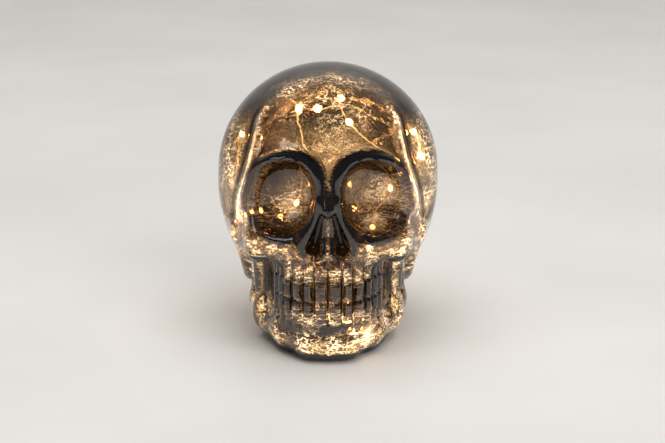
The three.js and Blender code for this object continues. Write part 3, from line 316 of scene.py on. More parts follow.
def clearResin(c):
    paint = Paint("clearResin")
    paint.setShader(Transmission_Weight=0.85, IOR=1.5, Roughness=0.06, Emission_Strength=c["haze"])
    tone = paint.noise(300.0, 2.0)
    paint.colour(paint.ramp(tone, [(0.3, (1.0, 0.86, 0.60)), (0.7, (1.0, 0.93, 0.76))]))
    heart = paint.add("ShaderNodeAttribute", attribute_name="heart").outputs["Fac"]
    glow = paint.ramp(heart, [(0.0, (0.55, 0.24, 0.07)), (0.5, (0.95, 0.52, 0.2)), (1.0, (1.0, 0.68, 0.34))])
    paint.link(glow, paint.shader.inputs["Emission Color"])
    paint.bump(paint.noise(700.0, 1.0), 0.15, 0.0001)
    return paint.material


def litChip(c):
    paint = Paint("litChip")
    paint.setShader(Roughness=0.4, Emission_Strength=c["strength"])
    tone = paint.ramp(paint.noise(900.0, 1.0), [(0.3, c["heart"]), (0.7, (1.0, 0.86, 0.62))])
    paint.colour(tone)
    paint.link(tone, paint.shader.inputs["Emission Color"])
    return paint.material


def revolve(bm, outline, steps):
    # Turns an outline of radius and height about the Z axis
    line = [bm.verts.new((r, 0, h)) for r, h in outline]
    geom = line + [bm.edges.new(pair) for pair in zip(line, line[1:])]
    bmesh.ops.spin(bm, geom=geom, cent=(0, 0, 0), axis=(0, 0, 1), angle=2 * math.pi, steps=steps,
                   use_merge=True)


def makeDrop(c, name, node, way, resin, chip):
    bm = bmesh.new()
    half, thick = c["length"] / 2 * mm, c["thick"] / 2 * mm
    outline = [(0.0, -half)]
    for i in range(1, c["steps"]):
        along = -math.cos(math.pi * i / c["steps"])
        outline.append((thick * (1 - along * along) ** c["blunt"], along * half))
    revolve(bm, outline + [(0.0, half)], c["segments"])
    bmesh.ops.remove_doubles(bm, verts=bm.verts, dist=1e-6)
    heart = bm.verts.layers.float.new("heart")
    for v in bm.verts:
        v[heart] = 1 - min(1.0, abs(v.co.z) / half)
    shell = set(bm.faces)
    across, along = [size * mm for size in c["chip"]]
    bmesh.ops.create_uvsphere(bm, u_segments=c["chipNet"][0], v_segments=c["chipNet"][1], radius=1.0,
                              matrix=Matrix.Diagonal((across, across, along, 1)))
    for face in bm.faces:
        face.material_index = 0 if face in shell else 1
    bmesh.ops.recalc_face_normals(bm, faces=bm.faces)
    low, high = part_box(node)
    stand = Vector((0, 0, 1)).rotation_difference(way).to_matrix().to_4x4()
    middle = (Vector(low) + Vector(high)) / 2
    bmesh.ops.transform(bm, matrix=Matrix.Translation(middle) @ stand, verts=bm.verts)
    piece = pieceFrom(bm, name, resin, "skull", [node])
    piece.data.materials.append(chip)
    return piece


def makeLightString():
    wire, line, length, ways = makeWire(string, lacqueredCopper())
    resin, chip = clearResin(drop), litChip(drop)
    for i, way in enumerate(ways, 1):
        makeDrop(drop, f"light_drop_{i:02d}", f"led_bead_{i:02d}", way, resin, chip)


makeLightString()
print("light string made")


# Glass skull: a ball pulled over a bone form, with a second ball for the inside
skull = {
    "wall": 3.2,
    "columns": 330,
    "rows": 190,
    "insideColumns": 200,
    "insideRows": 110,
    "width": 121.5,
    "height": 147.0,
    "relax": 7,
    "soft": 2.2,  # how much softer the forms of the inside melt than those of the outside
    "leastWall": 1.7,
    "insideAboveFloor": 1.2,
    "sharpFrom": 55,
    "rimSoftness": 1.6,
    "noseSoftness": 1.0,
    "noseWall": 0.8,  # share of the wall round the nose
    "insideMelts": {"outside": 2.0, "socket": 3.5, "nose": 4.0, "room": 1.5},
}
foot = {
    "centreY": -13.003,
    "power": 2.35,
    "radius": 2.6,
    "land": (30.55, 38.9),
    "recess": (28.95, 37.3),
    "room": (29.95, 38.3, 22.4),
    "neck": (26.85, 35.2),
    "ledge": 3.5,
    "floor": 6.8,
    "lip": 0.35,
    "rollSteps": 4,
    "top": 60,  # how far the foot's post reaches up into the head
    "edge": 6,
    "melt": 5,
    "roomEdge": 1.0,
}
localShift = 1.0772  # the skull's own forms are drawn this far behind the frame's origin


def join(a, b, k):
    h = np.clip(0.5 + 0.5 * (b - a) / k, 0, 1)
    return b + (a - b) * h - k * h * (1 - h)


def carve(a, b, k):
    return -join(-a, b, k)


def ease(t):
    t = np.clip(t, 0, 1)
    return t * t * (3 - 2 * t)


def rise(value, start, run):
    return ease((value - start) / run)


def swell(t, width):
    return np.exp(-((t / width) ** 2))


def ball(p, at, radii):
    u, v, w = [(p[i] - at[i]) / radii[i] for i in range(3)]
    near = np.sqrt(u * u + v * v + w * w)
    slope = np.sqrt((u / radii[0]) ** 2 + (v / radii[1]) ** 2 + (w / radii[2]) ** 2) + 1e-9
    return near * (near - 1) / slope


def limb(p, a, b, r0, r1, flatAt=None, flat=1.0):
    x, y, z = p
    if flatAt is not None:
        z = flatAt + (z - flatAt) * flat
    d = [b[i] - a[i] for i in range(3)]
    run = d[0] ** 2 + d[1] ** 2 + d[2] ** 2
    t = np.clip(((x - a[0]) * d[0] + (y - a[1]) * d[1] + (z - a[2]) * d[2]) / run, 0, 1)
    away = np.sqrt((x - a[0] - t * d[0]) ** 2 + (y - a[1] - t * d[1]) ** 2 + (z - a[2] - t * d[2]) ** 2)
    return away - (r0 + (r1 - r0) * t)


def post(p, centreY, halfX, halfY, low, high, power, edge):
    x, y, z = p
    ring = (np.abs(x / halfX) ** power + np.abs((y - centreY) / halfY) ** power) ** (1 / power)
    d = (ring - 1) * min(halfX, halfY)
    d = carve(d, z - low, edge)
    return carve(d, high - z, edge)


# Places and radii in millimetres; each form melts into the ones before it over its last number
bone = {
    "cranium": [
        ("ball", (0, 6, 88), (60.5, 66, 59), 0),
        ("ball", (0, -18, 96), (43, 43, 46), 7),
        ("ball", (0, 10, 72), (59.2, 50, 48), 6),
        ("limb", (44, 13, 56), (41.5, 13, 28), 11, 6.5, 8),
        ("ball", (0, 24, 46), (39, 36, 36), 14),
    ],
    "face": [("ball", (0, -34, 80), (43, 28, 36), 6)],
    "jaw": [
        ("limb", (34, -2, 16), (31, -22, 13.5), 9, 8.5, 0),
        ("limb", (31, -22, 13.5), (20.5, -43, 12), 8.5, 8.5, 6),
        ("limb", (20.5, -43, 12), (8, -55, 10), 8.5, 9, 6),
        ("limb", (8, -55, 10), (0, -56.5, 10), 9, 10, 6),
    ],
    "ramus": [
        ("limb", (35, -4, 16), (36.5, -8, 54), 7.5, 7, 0),
        ("limb", (33.5, -18, 18), (36, -20, 52), 6, 5.5, 5),
    ],
    "cheek": [
        ("ball", (0, -45, 59), (27, 19.5, 13), 5),
        ("limb", (20, -53.5, 61.5), (37, -45, 61.5), 6, 5.6, 5, 61.5, 0.62),
        ("limb", (37, -45, 61.5), (47, -22, 60.5), 5.6, 4.6, 5, 61.5, 0.62),
        ("limb", (47, -22, 61), (50, 8, 62), 4.6, 5, 5, 61, 0.8),
    ],
    "jawMelt": 5,
    "headToJaw": 3.5,
    "brow": [
        ("ball", (0, -55, 101), (11, 8, 8), 5),
        ("limb", (0, -58.5, 100), (0, -66, 84), 5.2, 3.8, 4),
        ("limb", (5, -61.5, 86), (14, -59.5, 62), 3.4, 4.2, 4),
    ],
}
orbit = {
    "x": 24.0, "z": 87.5, "tilt": 0.16, "power": 2.3,
    "rim": (19.1, 21.3), "rimY": -59.6, "rimBend": 0.0095, "rimDepth": 0.8, "rimMelt": 3.5,
    "thin": 0.9, "thick": 0.9, "thickAbove": (-0.35, 0.9), "thickInward": (0.1, 0.7),
    "y": -56.5, "turn": 0.33, "hollow": (18.2, 19.3), "depth": 13.0, "flare": (0.35, 0.8),
}
noseLobe = {"top": (3.0, 80.0), "low": (7.6, 62.0), "y": -66.0, "reach": 2.1, "radii": (1.75, 4.4)}
# "up" and "across" draw the stepped line; the other pairs are a start and a run, over which a form fades
temple = {
    "up": (60, 83, 102.5, 124, 136), "across": (50.5, 47.5, 42.0, 37.0, 29.0),
    "step": 4.2, "edge": (-1.5, 3.2), "behindFace": (-32, 40), "crown": (112, 20), "bottom": (64, 8),
    "back": (8, 12),
    "ridge": 0.9, "ridgeAt": 2.2, "ridgeWidth": 2.2, "ridgeTop": (116, 18), "ridgeBottom": (70, 10),
    "ridgeBack": (-20, 20),
}
jawNotch = {"deep": 1.8, "y": 11, "width": 5.5, "bottom": (17, 8), "top": (44, 10), "side": (30, 5)}
teeth = {
    "radius": 28.0, "y": -39.0, "back": 10.0, "widths": (8.0, 6.8, 7.0, 6.4, 6.4, 7.2),
    "halfY": 27.0, "low": 17, "high": 54, "round": 2.0, "edge": 4, "melt": 3,  # the block that carries them
    "bite": 34.8, "biteWidth": 1.0, "biteDeep": 1.6,
    "crown": (25.0, 45.5, 2.4), "root": (17.0, 56.0, 6.5),  # from, to, and the run over which each fades
    "grooveWidth": 1.1, "crownGroove": 2.6, "rootGroove": 1.6, "crownSwell": 1.1,
    "pastLast": 1.5, "endFade": 2,
}


def melt(p, forms, start=None, soft=1.0):
    d = start
    for form in forms:
        kind, rest = form[0], form[1:]
        if kind == "ball":
            value, k = ball(p, *rest[:2]), rest[2]
        else:
            value, k = limb(p, *rest[:4], *rest[5:]), rest[4]
        d = value if d is None else join(d, value, k * soft)
    return d


def orbitRing(x, z, halfX, halfZ):
    u = (x - orbit["x"]) / halfX
    w = (z + orbit["tilt"] * (x - orbit["x"]) - orbit["z"]) / halfZ
    rho = (np.abs(u) ** orbit["power"] + np.abs(w) ** orbit["power"]) ** (1 / orbit["power"])
    return rho, u, w


def headField(p, soft=1.0):
    d = melt(p, bone["cranium"], soft=soft)
    d = join(d, post(p, foot["centreY"], foot["land"][0] + foot["radius"], foot["land"][1] + foot["radius"],
                     -skull["height"], foot["top"], foot["power"], foot["edge"]), foot["melt"])
    d = melt(p, bone["face"], d, soft)
    jaw = join(melt(p, bone["jaw"], soft=soft), melt(p, bone["ramus"], soft=soft), bone["jawMelt"] * soft)
    d = join(d, jaw, bone["headToJaw"] * soft)
    block = post(p, teeth["y"], teeth["radius"], teeth["halfY"], teeth["low"], teeth["high"], teeth["round"],
                 teeth["edge"])
    d = join(d, block, teeth["melt"] * soft)
    return melt(p, bone["cheek"], d, soft)


def boneField(q):
    p = (np.abs(q[0]), q[1], q[2])
    x, y, z = p
    d = headField(p)
    rho, u, w = orbitRing(x, z, *orbit["rim"])
    reach = np.hypot(x - orbit["x"], z - orbit["z"]) / (rho + 1e-9)
    faceY = orbit["rimY"] + orbit["rimBend"] * x * x
    heavy = np.maximum(rise(w, *orbit["thickAbove"]), rise(-u, *orbit["thickInward"]))
    thick = orbit["thin"] + orbit["thick"] * heavy
    d = join(d, np.hypot((rho - 1) * reach, (y - faceY) * orbit["rimDepth"]) - thick, orbit["rimMelt"])
    d = melt(p, bone["brow"], d)
    line = np.interp(z, temple["up"], temple["across"])
    behind = (rise(x - line, *temple["edge"]) * (1 - rise(y, *temple["behindFace"]))
              * (1 - rise(z, *temple["crown"])) * rise(z, *temple["bottom"]) * (1 - rise(y, *temple["back"])))
    ridge = (swell(x - line + temple["ridgeAt"], temple["ridgeWidth"]) * (1 - rise(z, *temple["ridgeTop"]))
             * rise(z, *temple["ridgeBottom"]) * (1 - rise(y, *temple["ridgeBack"])))
    d = d + temple["step"] * behind - temple["ridge"] * ridge
    n = jawNotch
    return (d + n["deep"] * swell(y + n["y"], n["width"]) * rise(z, *n["bottom"]) * (1 - rise(z, *n["top"]))
            * rise(x, *n["side"]))


def toothRelief(q):
    x, y, z = np.abs(q[0]), q[1], q[2]
    along = teeth["radius"] * np.arctan2(x, teeth["y"] - y)
    edges = np.concatenate([[0.0], np.cumsum(teeth["widths"])])
    groove = np.max([swell(along - edge, teeth["grooveWidth"]) for edge in edges], axis=0)
    fade = teeth["endFade"]
    front = (np.clip((edges[-1] + teeth["pastLast"] - along) / fade, 0, 1)
             * ease((teeth["y"] + teeth["back"] - y) / fade))

    def band(low, high, fade):
        return ease((z - low) / fade) * ease((high - z) / fade)

    crown = band(*teeth["crown"])
    root = band(*teeth["root"])
    cut = groove * (teeth["crownGroove"] * crown + teeth["rootGroove"] * root)
    bite = teeth["biteDeep"] * swell(z - teeth["bite"], teeth["biteWidth"])
    return front * (np.maximum(cut, bite) - teeth["crownSwell"] * crown)


def socketField(q):
    x, y, z = np.abs(q[0]), q[1], q[2]
    c, s = math.cos(orbit["turn"]), math.sin(orbit["turn"])
    dx, dy = x - orbit["x"], y - orbit["y"]
    across = c * dx + s * dy
    along = (s * dx - c * dy) / orbit["depth"]
    up = z + orbit["tilt"] * across - orbit["z"]
    flare = 1 + orbit["flare"][0] * np.maximum(along, 0) + orbit["flare"][1] * np.maximum(along, 0) ** 2
    power = orbit["power"]
    ring = ((np.abs(across / orbit["hollow"][0]) ** power + np.abs(up / orbit["hollow"][1]) ** power)
            ** (1 / power)) / flare
    deep = np.maximum(-along, 0)
    return ((ring ** power + deep ** power) ** (1 / power) - 1) * orbit["depth"]


def noseField(q):
    p = (np.abs(q[0]), (q[1] - noseLobe["y"]) / noseLobe["reach"], q[2])
    low = (noseLobe["low"][0], 0.0, noseLobe["low"][1])
    top = (noseLobe["top"][0], 0.0, noseLobe["top"][1])
    return limb(p, low, top, noseLobe["radii"][1], noseLobe["radii"][0])


def outsideField(q):
    d = boneField(q) + toothRelief(q)
    d = carve(d, socketField(q), skull["rimSoftness"])
    return carve(d, noseField(q), skull["noseSoftness"])


def insideField(q):
    # The inside of blown glass is softer than its moulded outside
    p = (np.abs(q[0]), q[1], q[2])
    melts = skull["insideMelts"]
    d = headField(p, skull["soft"]) + skull["wall"]
    d = carve(d, -(outsideField(q) + skull["leastWall"]), melts["outside"])
    d = carve(d, socketField(q) - skull["wall"], melts["socket"])
    d = carve(d, noseField(q) - skull["wall"] * skull["noseWall"], melts["nose"])
    halfX, halfY, top = foot["room"]
    room = post(p, foot["centreY"], halfX, halfY, -skull["height"], top, foot["power"], foot["roomEdge"])
    return join(d, room, melts["room"])


# Rays are cast from an upright line in the middle, and step inwards from afar until they meet the form
cast = {
    "split": 0.5,  # share of the rows that lie below the crown's fan
    "top": 84.0,  # height from which the crown's rays fan out
    "lean": 0.1 * math.pi,
    "leanSpan": 1.24,
    "shift": (58.0, -4.0),  # above this height the line bends from the foot's centre to this y
    "startSide": 0.18,
    "startUp": 0.14,
    "far": 100.0,
    "strides": 160,
    "stride": (0.3, 8.0),
    "caution": 0.6,  # share of the measured distance that a step takes
    "halvings": 12,
}
net = {
    "bunching": (0.6, 0.4),  # columns lie closer at the face than at the back
    "evening": 0.6,
    "probe": 0.05,
    "pulls": 2,
    "pull": 1.5,
    "leastSlope": 0.3,
}


def castOn(field, angle, share):
    # Rows go up the face, then fan over the crown; the rays lean forward to look into the sockets
    split, top = cast["split"], cast["top"]
    low = foot["radius"]
    z = np.where(share < split, low + (top - low) * share / split, top)
    lift = np.where(share < split, 0.0, (share - split) / (1 - split) * math.pi / 2)
    side = np.sin(angle)
    front = np.where(np.cos(angle) > 0, np.sin(2 * angle), 0)
    turned = angle - cast["lean"] * front
    near = 1 - ease((1 - np.cos(angle)) / cast["leanSpan"])
    climb = lift - cast["lean"] * near * np.sin(2 * lift)
    shiftFrom, topY = cast["shift"]
    axisY = np.interp(z, (shiftFrom, top), (foot["centreY"], topY))
    start = [cast["startSide"] * skull["width"] * side * np.cos(lift), axisY,
             z + cast["startUp"] * skull["height"] * np.sin(lift)]
    way = [np.sin(turned) * np.cos(climb), -np.cos(turned) * np.cos(climb), np.sin(climb)]
    far = np.full(angle.shape, cast["far"])
    live = np.ones(angle.shape, bool)
    gap = np.zeros(angle.shape)
    for _ in range(cast["strides"]):
        at = [start[i][live] + way[i][live] * far[live] for i in range(3)]
        value = field(at)
        stride = np.where(value > 0, np.clip(cast["caution"] * value, *cast["stride"]), 0)
        index = np.flatnonzero(live)
        far[index] -= stride
        gap[index] = np.where(value > 0, stride, gap[index])
        live[index[value <= 0]] = False
        if not live.any():
            break
    near, away = far.copy(), far + gap
    for _ in range(cast["halvings"]):
        middle = (near + away) / 2
        inside = field([start[i] + way[i] * middle for i in range(3)]) < 0
        near = np.where(inside, middle, near)
        away = np.where(inside, away, middle)
    return np.stack([start[i] + way[i] * near for i in range(3)])


def settle(field, points, edges, held, rounds):
    # Evens out the net along the surface, then draws it back on to the form
    a, b = edges[:, 0], edges[:, 1]
    count = np.bincount(np.concatenate([a, b]), minlength=points.shape[1])
    free = ~held
    for _ in range(rounds):
        mean = np.stack([np.bincount(a, points[i][b], points.shape[1])
                         + np.bincount(b, points[i][a], points.shape[1]) for i in range(3)]) / count
        here = field(points)
        step = net["probe"]
        beside = [field([points[k] + step * (k == i) for k in range(3)]) for i in range(3)]
        slope = np.stack([value - here for value in beside]) / step
        size = np.sqrt((slope ** 2).sum(0)) + 1e-9
        normal = slope / size
        drift = mean - points
        drift -= normal * (drift * normal).sum(0)
        points = points + np.where(free, net["evening"] * drift, 0)
        for _ in range(net["pulls"]):
            away = field(points) / np.maximum(size, net["leastSlope"])
            points = points - np.where(free, normal * np.clip(away, -net["pull"], net["pull"]), 0)
    return points


def pulledBall(field, columns, rows, rounds, lowest):
    bm = bmesh.new()
    bmesh.ops.create_uvsphere(bm, u_segments=columns, v_segments=rows, radius=1.0)
    bottom = min(bm.verts, key=lambda v: v.co.z)
    bmesh.ops.delete(bm, geom=[bottom], context="VERTS")
    bm.verts.ensure_lookup_table()
    co = np.array([v.co for v in bm.verts]).T
    polar = np.arccos(np.clip(co[2], -1, 1)) / math.pi
    share = 1 - polar * rows / (rows - 1)
    turn = np.arctan2(co[0], -co[1]) / math.pi
    even, bunched = net["bunching"]
    angle = np.sign(turn) * math.pi * (even * np.abs(turn) + bunched * np.abs(turn) ** 3)
    share = np.clip(share, 0, 1)
    points = castOn(field, angle, share)
    held = share < 1e-6
    points[2][held] = lowest
    edges = np.array([[e.verts[0].index, e.verts[1].index] for e in bm.edges])
    points = settle(field, points, edges, held, rounds)
    for v, x, y, z in zip(bm.verts, *points):
        v.co = (x, y, z)
    return bm


def ovalPoint(co, half, z):
    angle = math.atan2(co.x, -(co.y - foot["centreY"]))
    p = foot["power"]
    r = (abs(math.sin(angle) / half[0]) ** p + abs(math.cos(angle) / half[1]) ** p) ** (-1 / p)
    return Vector((math.sin(angle) * r, foot["centreY"] - math.cos(angle) * r, z))


def grow(bm, ring, place):
    # Extrudes a ring of edges and puts the new ring where it belongs
    made = bmesh.ops.extrude_edge_only(bm, edges=ring)["geom"]
    for v in [g for g in made if isinstance(g, bmesh.types.BMVert)]:
        v.co = place(v.co)
    return [g for g in made if isinstance(g, bmesh.types.BMEdge)]


# The smoked glass and the coat inside it. The light that the coat shows is painted glow and painted glints, set
# to the photo, and isn't traced. Pairs are a start and a run in millimetres, over which a share comes in
lustre = {
    "smoke": (0.60, 0.56, 0.515),
    "depth": 1700.0,  # how strongly the glass darkens along a ray, per metre
    "mirror": 0.05,
    "roughness": 0.015,
    "dimple": 0.12,  # how much of the fine unevenness there is beside the broad ripple
    "hammered": 3.0,  # how much rougher the relief of the inside is
    "coatMirror": 0.14,  # share of light that the metal coat inside throws back
    # strength of the painted glow that the coat gives off
    "coatShine": 21.0,
    "reach": 9.0,  # distance in millimetres at which a drop lights the coat fully
    "core": 3.0,  # keeps the light beside a drop from growing without end
    "fall": 1.4,  # how fast a drop's light falls off
    "level": 0.3,  # share of it that doesn't depend on the slant
    "deep": 0.52,  # a drop that hangs deep lights the face before it from this share of its distance
    "before": 5.0,  # how far in front of a drop the glass has to lie to count as before it
    "brow": 0.4,  # how much less the brow shows
    "browFrom": (97, 12),
    "sockets": 1.3,  # how much more the rest of the face shows, below the brow
    "faceFrom": (18, 10),
    "most": 1.8,  # the brightest that the face shows, and the back
    "mostBehind": 0.7,
    "sides": 0.4,  # painted light that the sides and the chin have in any case
    "sidesFrom": (43, 6),
    "chin": 0.45,
    "chinFrom": (-32, 6),
    "temples": 0.75,  # how much less the stepped edge of the temples gathers
    "templesFrom": (33, 4),
    "templesLow": 64,
    "spill": 1.5,  # painted light that bulging relief gathers
    "spillReach": 2.5,
    "grooveReach": 3.0,
    "chinGroove": (28, 0.3),  # height under which the painted shade in grooves is weaker, and how much of it stays
    "levels": (4, 26, 50, 93),  # percentiles of relief: deepest, shallow, flat, fully bulging
    "halo": 0.35,  # how fast the painted glow flares up right beside a drop
    "haloEven": 0.2,
    "even": 0.05,  # share of the coat's painted light that lies even, without painted glints
    "stretch": (1.0, 1.0, 2.4),
    "paintedGlintVeins": (170.0, 0.8, 0.02),  # painted glint veins: scale, strength, width
    "paintedGlintSpecks": (700.0, 0.5, 0.60, 0.74),  # painted glint specks: scale, strength, and the noise between which they come in
    "patch": (70.0, 0.22, 1.6, 0.41, 0.62),  # patches of painted light: scale, weakest, strongest, and the noise between them
}


def fadeIn(value, start, run):
    return np.clip((value - start) / run, 0, 1)


def reliefAt(points, reach):
    # How strongly the moulded form bulges near each point, and how deep it lies in a groove
    bend = -6 * outsideField(points)
    for axis in range(3):
        for side in (-reach, reach):
            bend = bend + outsideField([points[k] + side * (k == axis) for k in range(3)])
    deep, shallow, low, high = np.percentile(bend, lustre["levels"])
    return np.clip((bend - low) / (high - low), 0, 1), np.clip((shallow - bend) / (shallow - deep), 0, 1)


def castGlow(bm, faces, c):
    # How much painted light the coat shows at each point: "glow" near a drop, "spill" on relief, sides and chin
    coat, near, far = [bm.verts.layers.float.new(name) for name in ("coat", "glow", "spill")]
    verts = list(dict.fromkeys(v for face in faces for v in face.verts))
    at = np.array([v.co for v in verts])
    facing = np.array([v.normal for v in verts])
    total = np.zeros(len(verts))
    for place in string["route"]:
        if len(place) == 4:
            way = np.array(place[:3]) + (0, localShift, 0) - at
            away = np.sqrt((way ** 2).sum(1))
            slant = np.abs((facing * way).sum(1)) / (away + 1e-6)
            reach = max(c["reach"], c["deep"] * away[at[:, 1] < place[1] - c["before"]].min())
            strength = (reach ** 2 / (away ** 2 + c["core"] ** 2)) ** c["fall"]
            total += (c["level"] + (1 - c["level"]) * slant) * strength
    brow = fadeIn(at[:, 2], *c["browFrom"])
    face = fadeIn(-at[:, 1], *c["faceFrom"])
    most = c["mostBehind"] + (c["most"] - c["mostBehind"]) * face
    total = np.minimum(total * (1 + face * (c["sockets"] * (1 - brow) - c["brow"] * brow)), most)
    sides = c["sides"] * fadeIn(np.abs(at[:, 0]), *c["sidesFrom"])
    chin = c["chin"] * face * fadeIn(-at[:, 2], *c["chinFrom"])
    calm = 1 - c["temples"] * fadeIn(np.abs(at[:, 0]), *c["templesFrom"]) * (at[:, 2] > c["templesLow"])
    gathered = np.maximum(reliefAt(at.T, c["spillReach"])[0] * calm, np.maximum(sides, chin))
    for v, light, relief in zip(verts, total, gathered):
        v[coat], v[near], v[far] = 1.0, float(light), float(relief)


def fitIn(bm, node):
    # Keeps the finer form within the box of the part it stands for
    low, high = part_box(node)
    for axis in range(3):
        least = min(v.co[axis] for v in bm.verts)
        most = max(v.co[axis] for v in bm.verts)
        scale = (high[axis] - low[axis]) / (most - least)
        if scale < 1:
            for v in bm.verts:
                v.co[axis] = low[axis] + (v.co[axis] - least) * scale


def makeGlass(material):
    bm = pulledBall(outsideField, skull["columns"], skull["rows"], skull["relax"], foot["radius"])
    ring = [e for e in bm.edges if e.is_boundary]
    steps = foot["rollSteps"]
    for k in range(1, steps + 1):
        turn = k / steps * math.pi / 2

        def roll(co, turn=turn, k=k):
            before = math.cos((k - 1) / steps * math.pi / 2)
            land = ovalPoint(co, foot["land"], 0)
            share = (before - math.cos(turn)) / before
            z = foot["radius"] * (1 - math.sin(turn))
            return Vector((co.x + (land.x - co.x) * share, co.y + (land.y - co.y) * share, z))

        ring = grow(bm, ring, roll)
    lip = foot["lip"]
    ring = grow(bm, ring, lambda co: ovalPoint(co, [h + lip for h in foot["recess"]], 0))
    ring = grow(bm, ring, lambda co: ovalPoint(co, foot["recess"], lip))
    ring = grow(bm, ring, lambda co: ovalPoint(co, foot["recess"], foot["ledge"]))
    ring = grow(bm, ring, lambda co: ovalPoint(co, foot["neck"], foot["ledge"]))
    ring = grow(bm, ring, lambda co: ovalPoint(co, foot["neck"], foot["floor"] - lip))
    ring = grow(bm, ring, lambda co: ovalPoint(co, [h + lip for h in foot["neck"]], foot["floor"]))
    inner = pulledBall(insideField, skull["insideColumns"], skull["insideRows"], skull["relax"],
                       foot["floor"] + skull["insideAboveFloor"])
    mesh = bpy.data.meshes.new("inside")
    inner.to_mesh(mesh)
    inner.free()
    # Painted shade: the glass's colour is darkened in the grooves of the relief, less under the chin
    groove = bm.verts.layers.float.new("groove")
    under, kept = lustre["chinGroove"]
    depths = reliefAt(np.array([v.co for v in bm.verts]).T, lustre["grooveReach"])[1]
    for v, depth in zip(bm.verts, depths):
        v[groove] = float(depth) * (kept if v.co.z < under else 1.0)
    outer = len(bm.faces)
    bm.from_mesh(mesh)
    bpy.data.meshes.remove(mesh)
    bm.faces.ensure_lookup_table()
    coated = bm.faces[outer:]
    bm.normal_update()
    castGlow(bm, coated, lustre)
    bmesh.ops.bridge_loops(bm, edges=[e for e in bm.edges if e.is_boundary])
    bmesh.ops.triangulate(bm, faces=[f for f in bm.faces if len(f.verts) > 4])
    bmesh.ops.recalc_face_normals(bm, faces=bm.faces)
    place = Matrix.Scale(mm, 4) @ Matrix.Translation((0, -localShift, 0))
    bmesh.ops.transform(bm, matrix=place, verts=bm.verts)
    fitIn(bm, "glass_skull")
    glass = pieceFrom(bm, "skull_glass", material, "skull", ["glass_skull"])
    glass.data.set_sharp_from_angle(angle=math.radians(skull["sharpFrom"]))
    return glass


def lustreGlass(c):
    # The crazed coat is a weak mirror, and gives off the painted glow that castGlow laid on it; its crazing
    # shows only as painted glints
    paint = Paint("lustreGlass")
    paint.setShader(Transmission_Weight=1.0, IOR=1.5, Roughness=c["roughness"],
                    Emission_Strength=c["coatShine"])
    coat = paint.add("ShaderNodeAttribute", attribute_name="coat").outputs["Fac"]
    paint.link(paint.spread(coat, c["mirror"], c["coatMirror"]), paint.shader.inputs["Metallic"])
    tint = paint.ramp(paint.noise(9.0, 2.0), [(0.3, (0.86, 0.83, 0.79)), (0.7, (0.93, 0.91, 0.88))])
    bronze = paint.ramp(paint.noise(14.0, 3.0), [(0.3, (0.80, 0.61, 0.38)), (0.7, (0.96, 0.80, 0.56))])
    # Painted shade: the glass is darker in the grooves of its relief
    groove = paint.add("ShaderNodeAttribute", attribute_name="groove").outputs["Fac"]
    paintedGrooveShade = paint.ramp(groove, [(0.0, (1, 1, 1)), (0.5, (0.35, 0.31, 0.27)), (1.0, (0.06, 0.045, 0.035))])
    paint.colour(paint.mixed(1.0, paint.mixed(coat, tint, bronze), paintedGrooveShade, "MULTIPLY"))
    fine = paint.reckon("MULTIPLY", paint.noise(300.0, 1.0), c["dimple"])
    outside = paint.reckon("ADD", paint.noise(55.0, 1.5), fine)
    inside = paint.reckon("MULTIPLY", paint.noise(110.0, 3.0), c["hammered"])
    level = paint.reckon("ADD", paint.reckon("MULTIPLY", paint.reckon("SUBTRACT", 1.0, coat), outside),
                         paint.reckon("MULTIPLY", coat, inside))
    paint.bump(level, 0.35, 0.0006)
    # Painted glints: thin veins and specks of light, laid over the coat's painted glow
    streaks = paint.add("ShaderNodeMapping")
    streaks.inputs["Scale"].default_value = c["stretch"]
    paint.link(paint.place, streaks.inputs["Vector"])
    scale, strength, width = c["paintedGlintVeins"]
    wave = paint.noise(scale, 5.0, 0.6, streaks.outputs["Vector"])
    fold = paint.reckon("ABSOLUTE", paint.reckon("SUBTRACT", wave, 0.5))
    paintedGlintVeins = paint.spread(fold, strength, 0.0, 0.0, width)
    scale, strength, *between = c["paintedGlintSpecks"]
    paintedGlintSpecks = paint.spread(paint.noise(scale, 2.0), 0.0, strength, *between)
    pattern = paint.reckon("ADD", paint.reckon("ADD", paintedGlintVeins, paintedGlintSpecks), c["even"])
    near = paint.add("ShaderNodeAttribute", attribute_name="glow").outputs["Fac"]
    far = paint.add("ShaderNodeAttribute", attribute_name="spill").outputs["Fac"]
    scale, *patchy = c["patch"]
    patch = paint.spread(paint.noise(scale, 2.0), *patchy)
    lit = paint.reckon("MULTIPLY", patch, paint.reckon("ADD", near, paint.reckon("MULTIPLY", far, c["spill"])))
    flare = paint.reckon("MULTIPLY", paint.reckon("POWER", near, 2.0), c["halo"])
    halo = paint.reckon("MULTIPLY", flare, paint.reckon("ADD", pattern, c["haloEven"]))
    shine = paint.reckon("MULTIPLY", coat, paint.reckon("ADD", paint.reckon("MULTIPLY", lit, pattern), halo))
    # Painted glow: the coat's light runs from black through bronze to a pale gold
    paintedGlowGold = [(0.0, (0.0, 0.0, 0.0)), (0.12, (0.05, 0.034, 0.018)), (0.4, (0.40, 0.31, 0.18)),
            (1.0, (1.0, 0.90, 0.70))]
    paint.link(paint.ramp(shine, paintedGlowGold), paint.shader.inputs["Emission Color"])
    smoke = paint.add("ShaderNodeVolumeAbsorption")
    smoke.inputs["Color"].default_value = (*c["smoke"], 1.0)
    smoke.inputs["Density"].default_value = c["depth"]
    paint.link(smoke.outputs["Volume"], paint.output.inputs["Volume"])
    return paint.material


makeGlass(lustreGlass(lustre))
print("glass skull made")


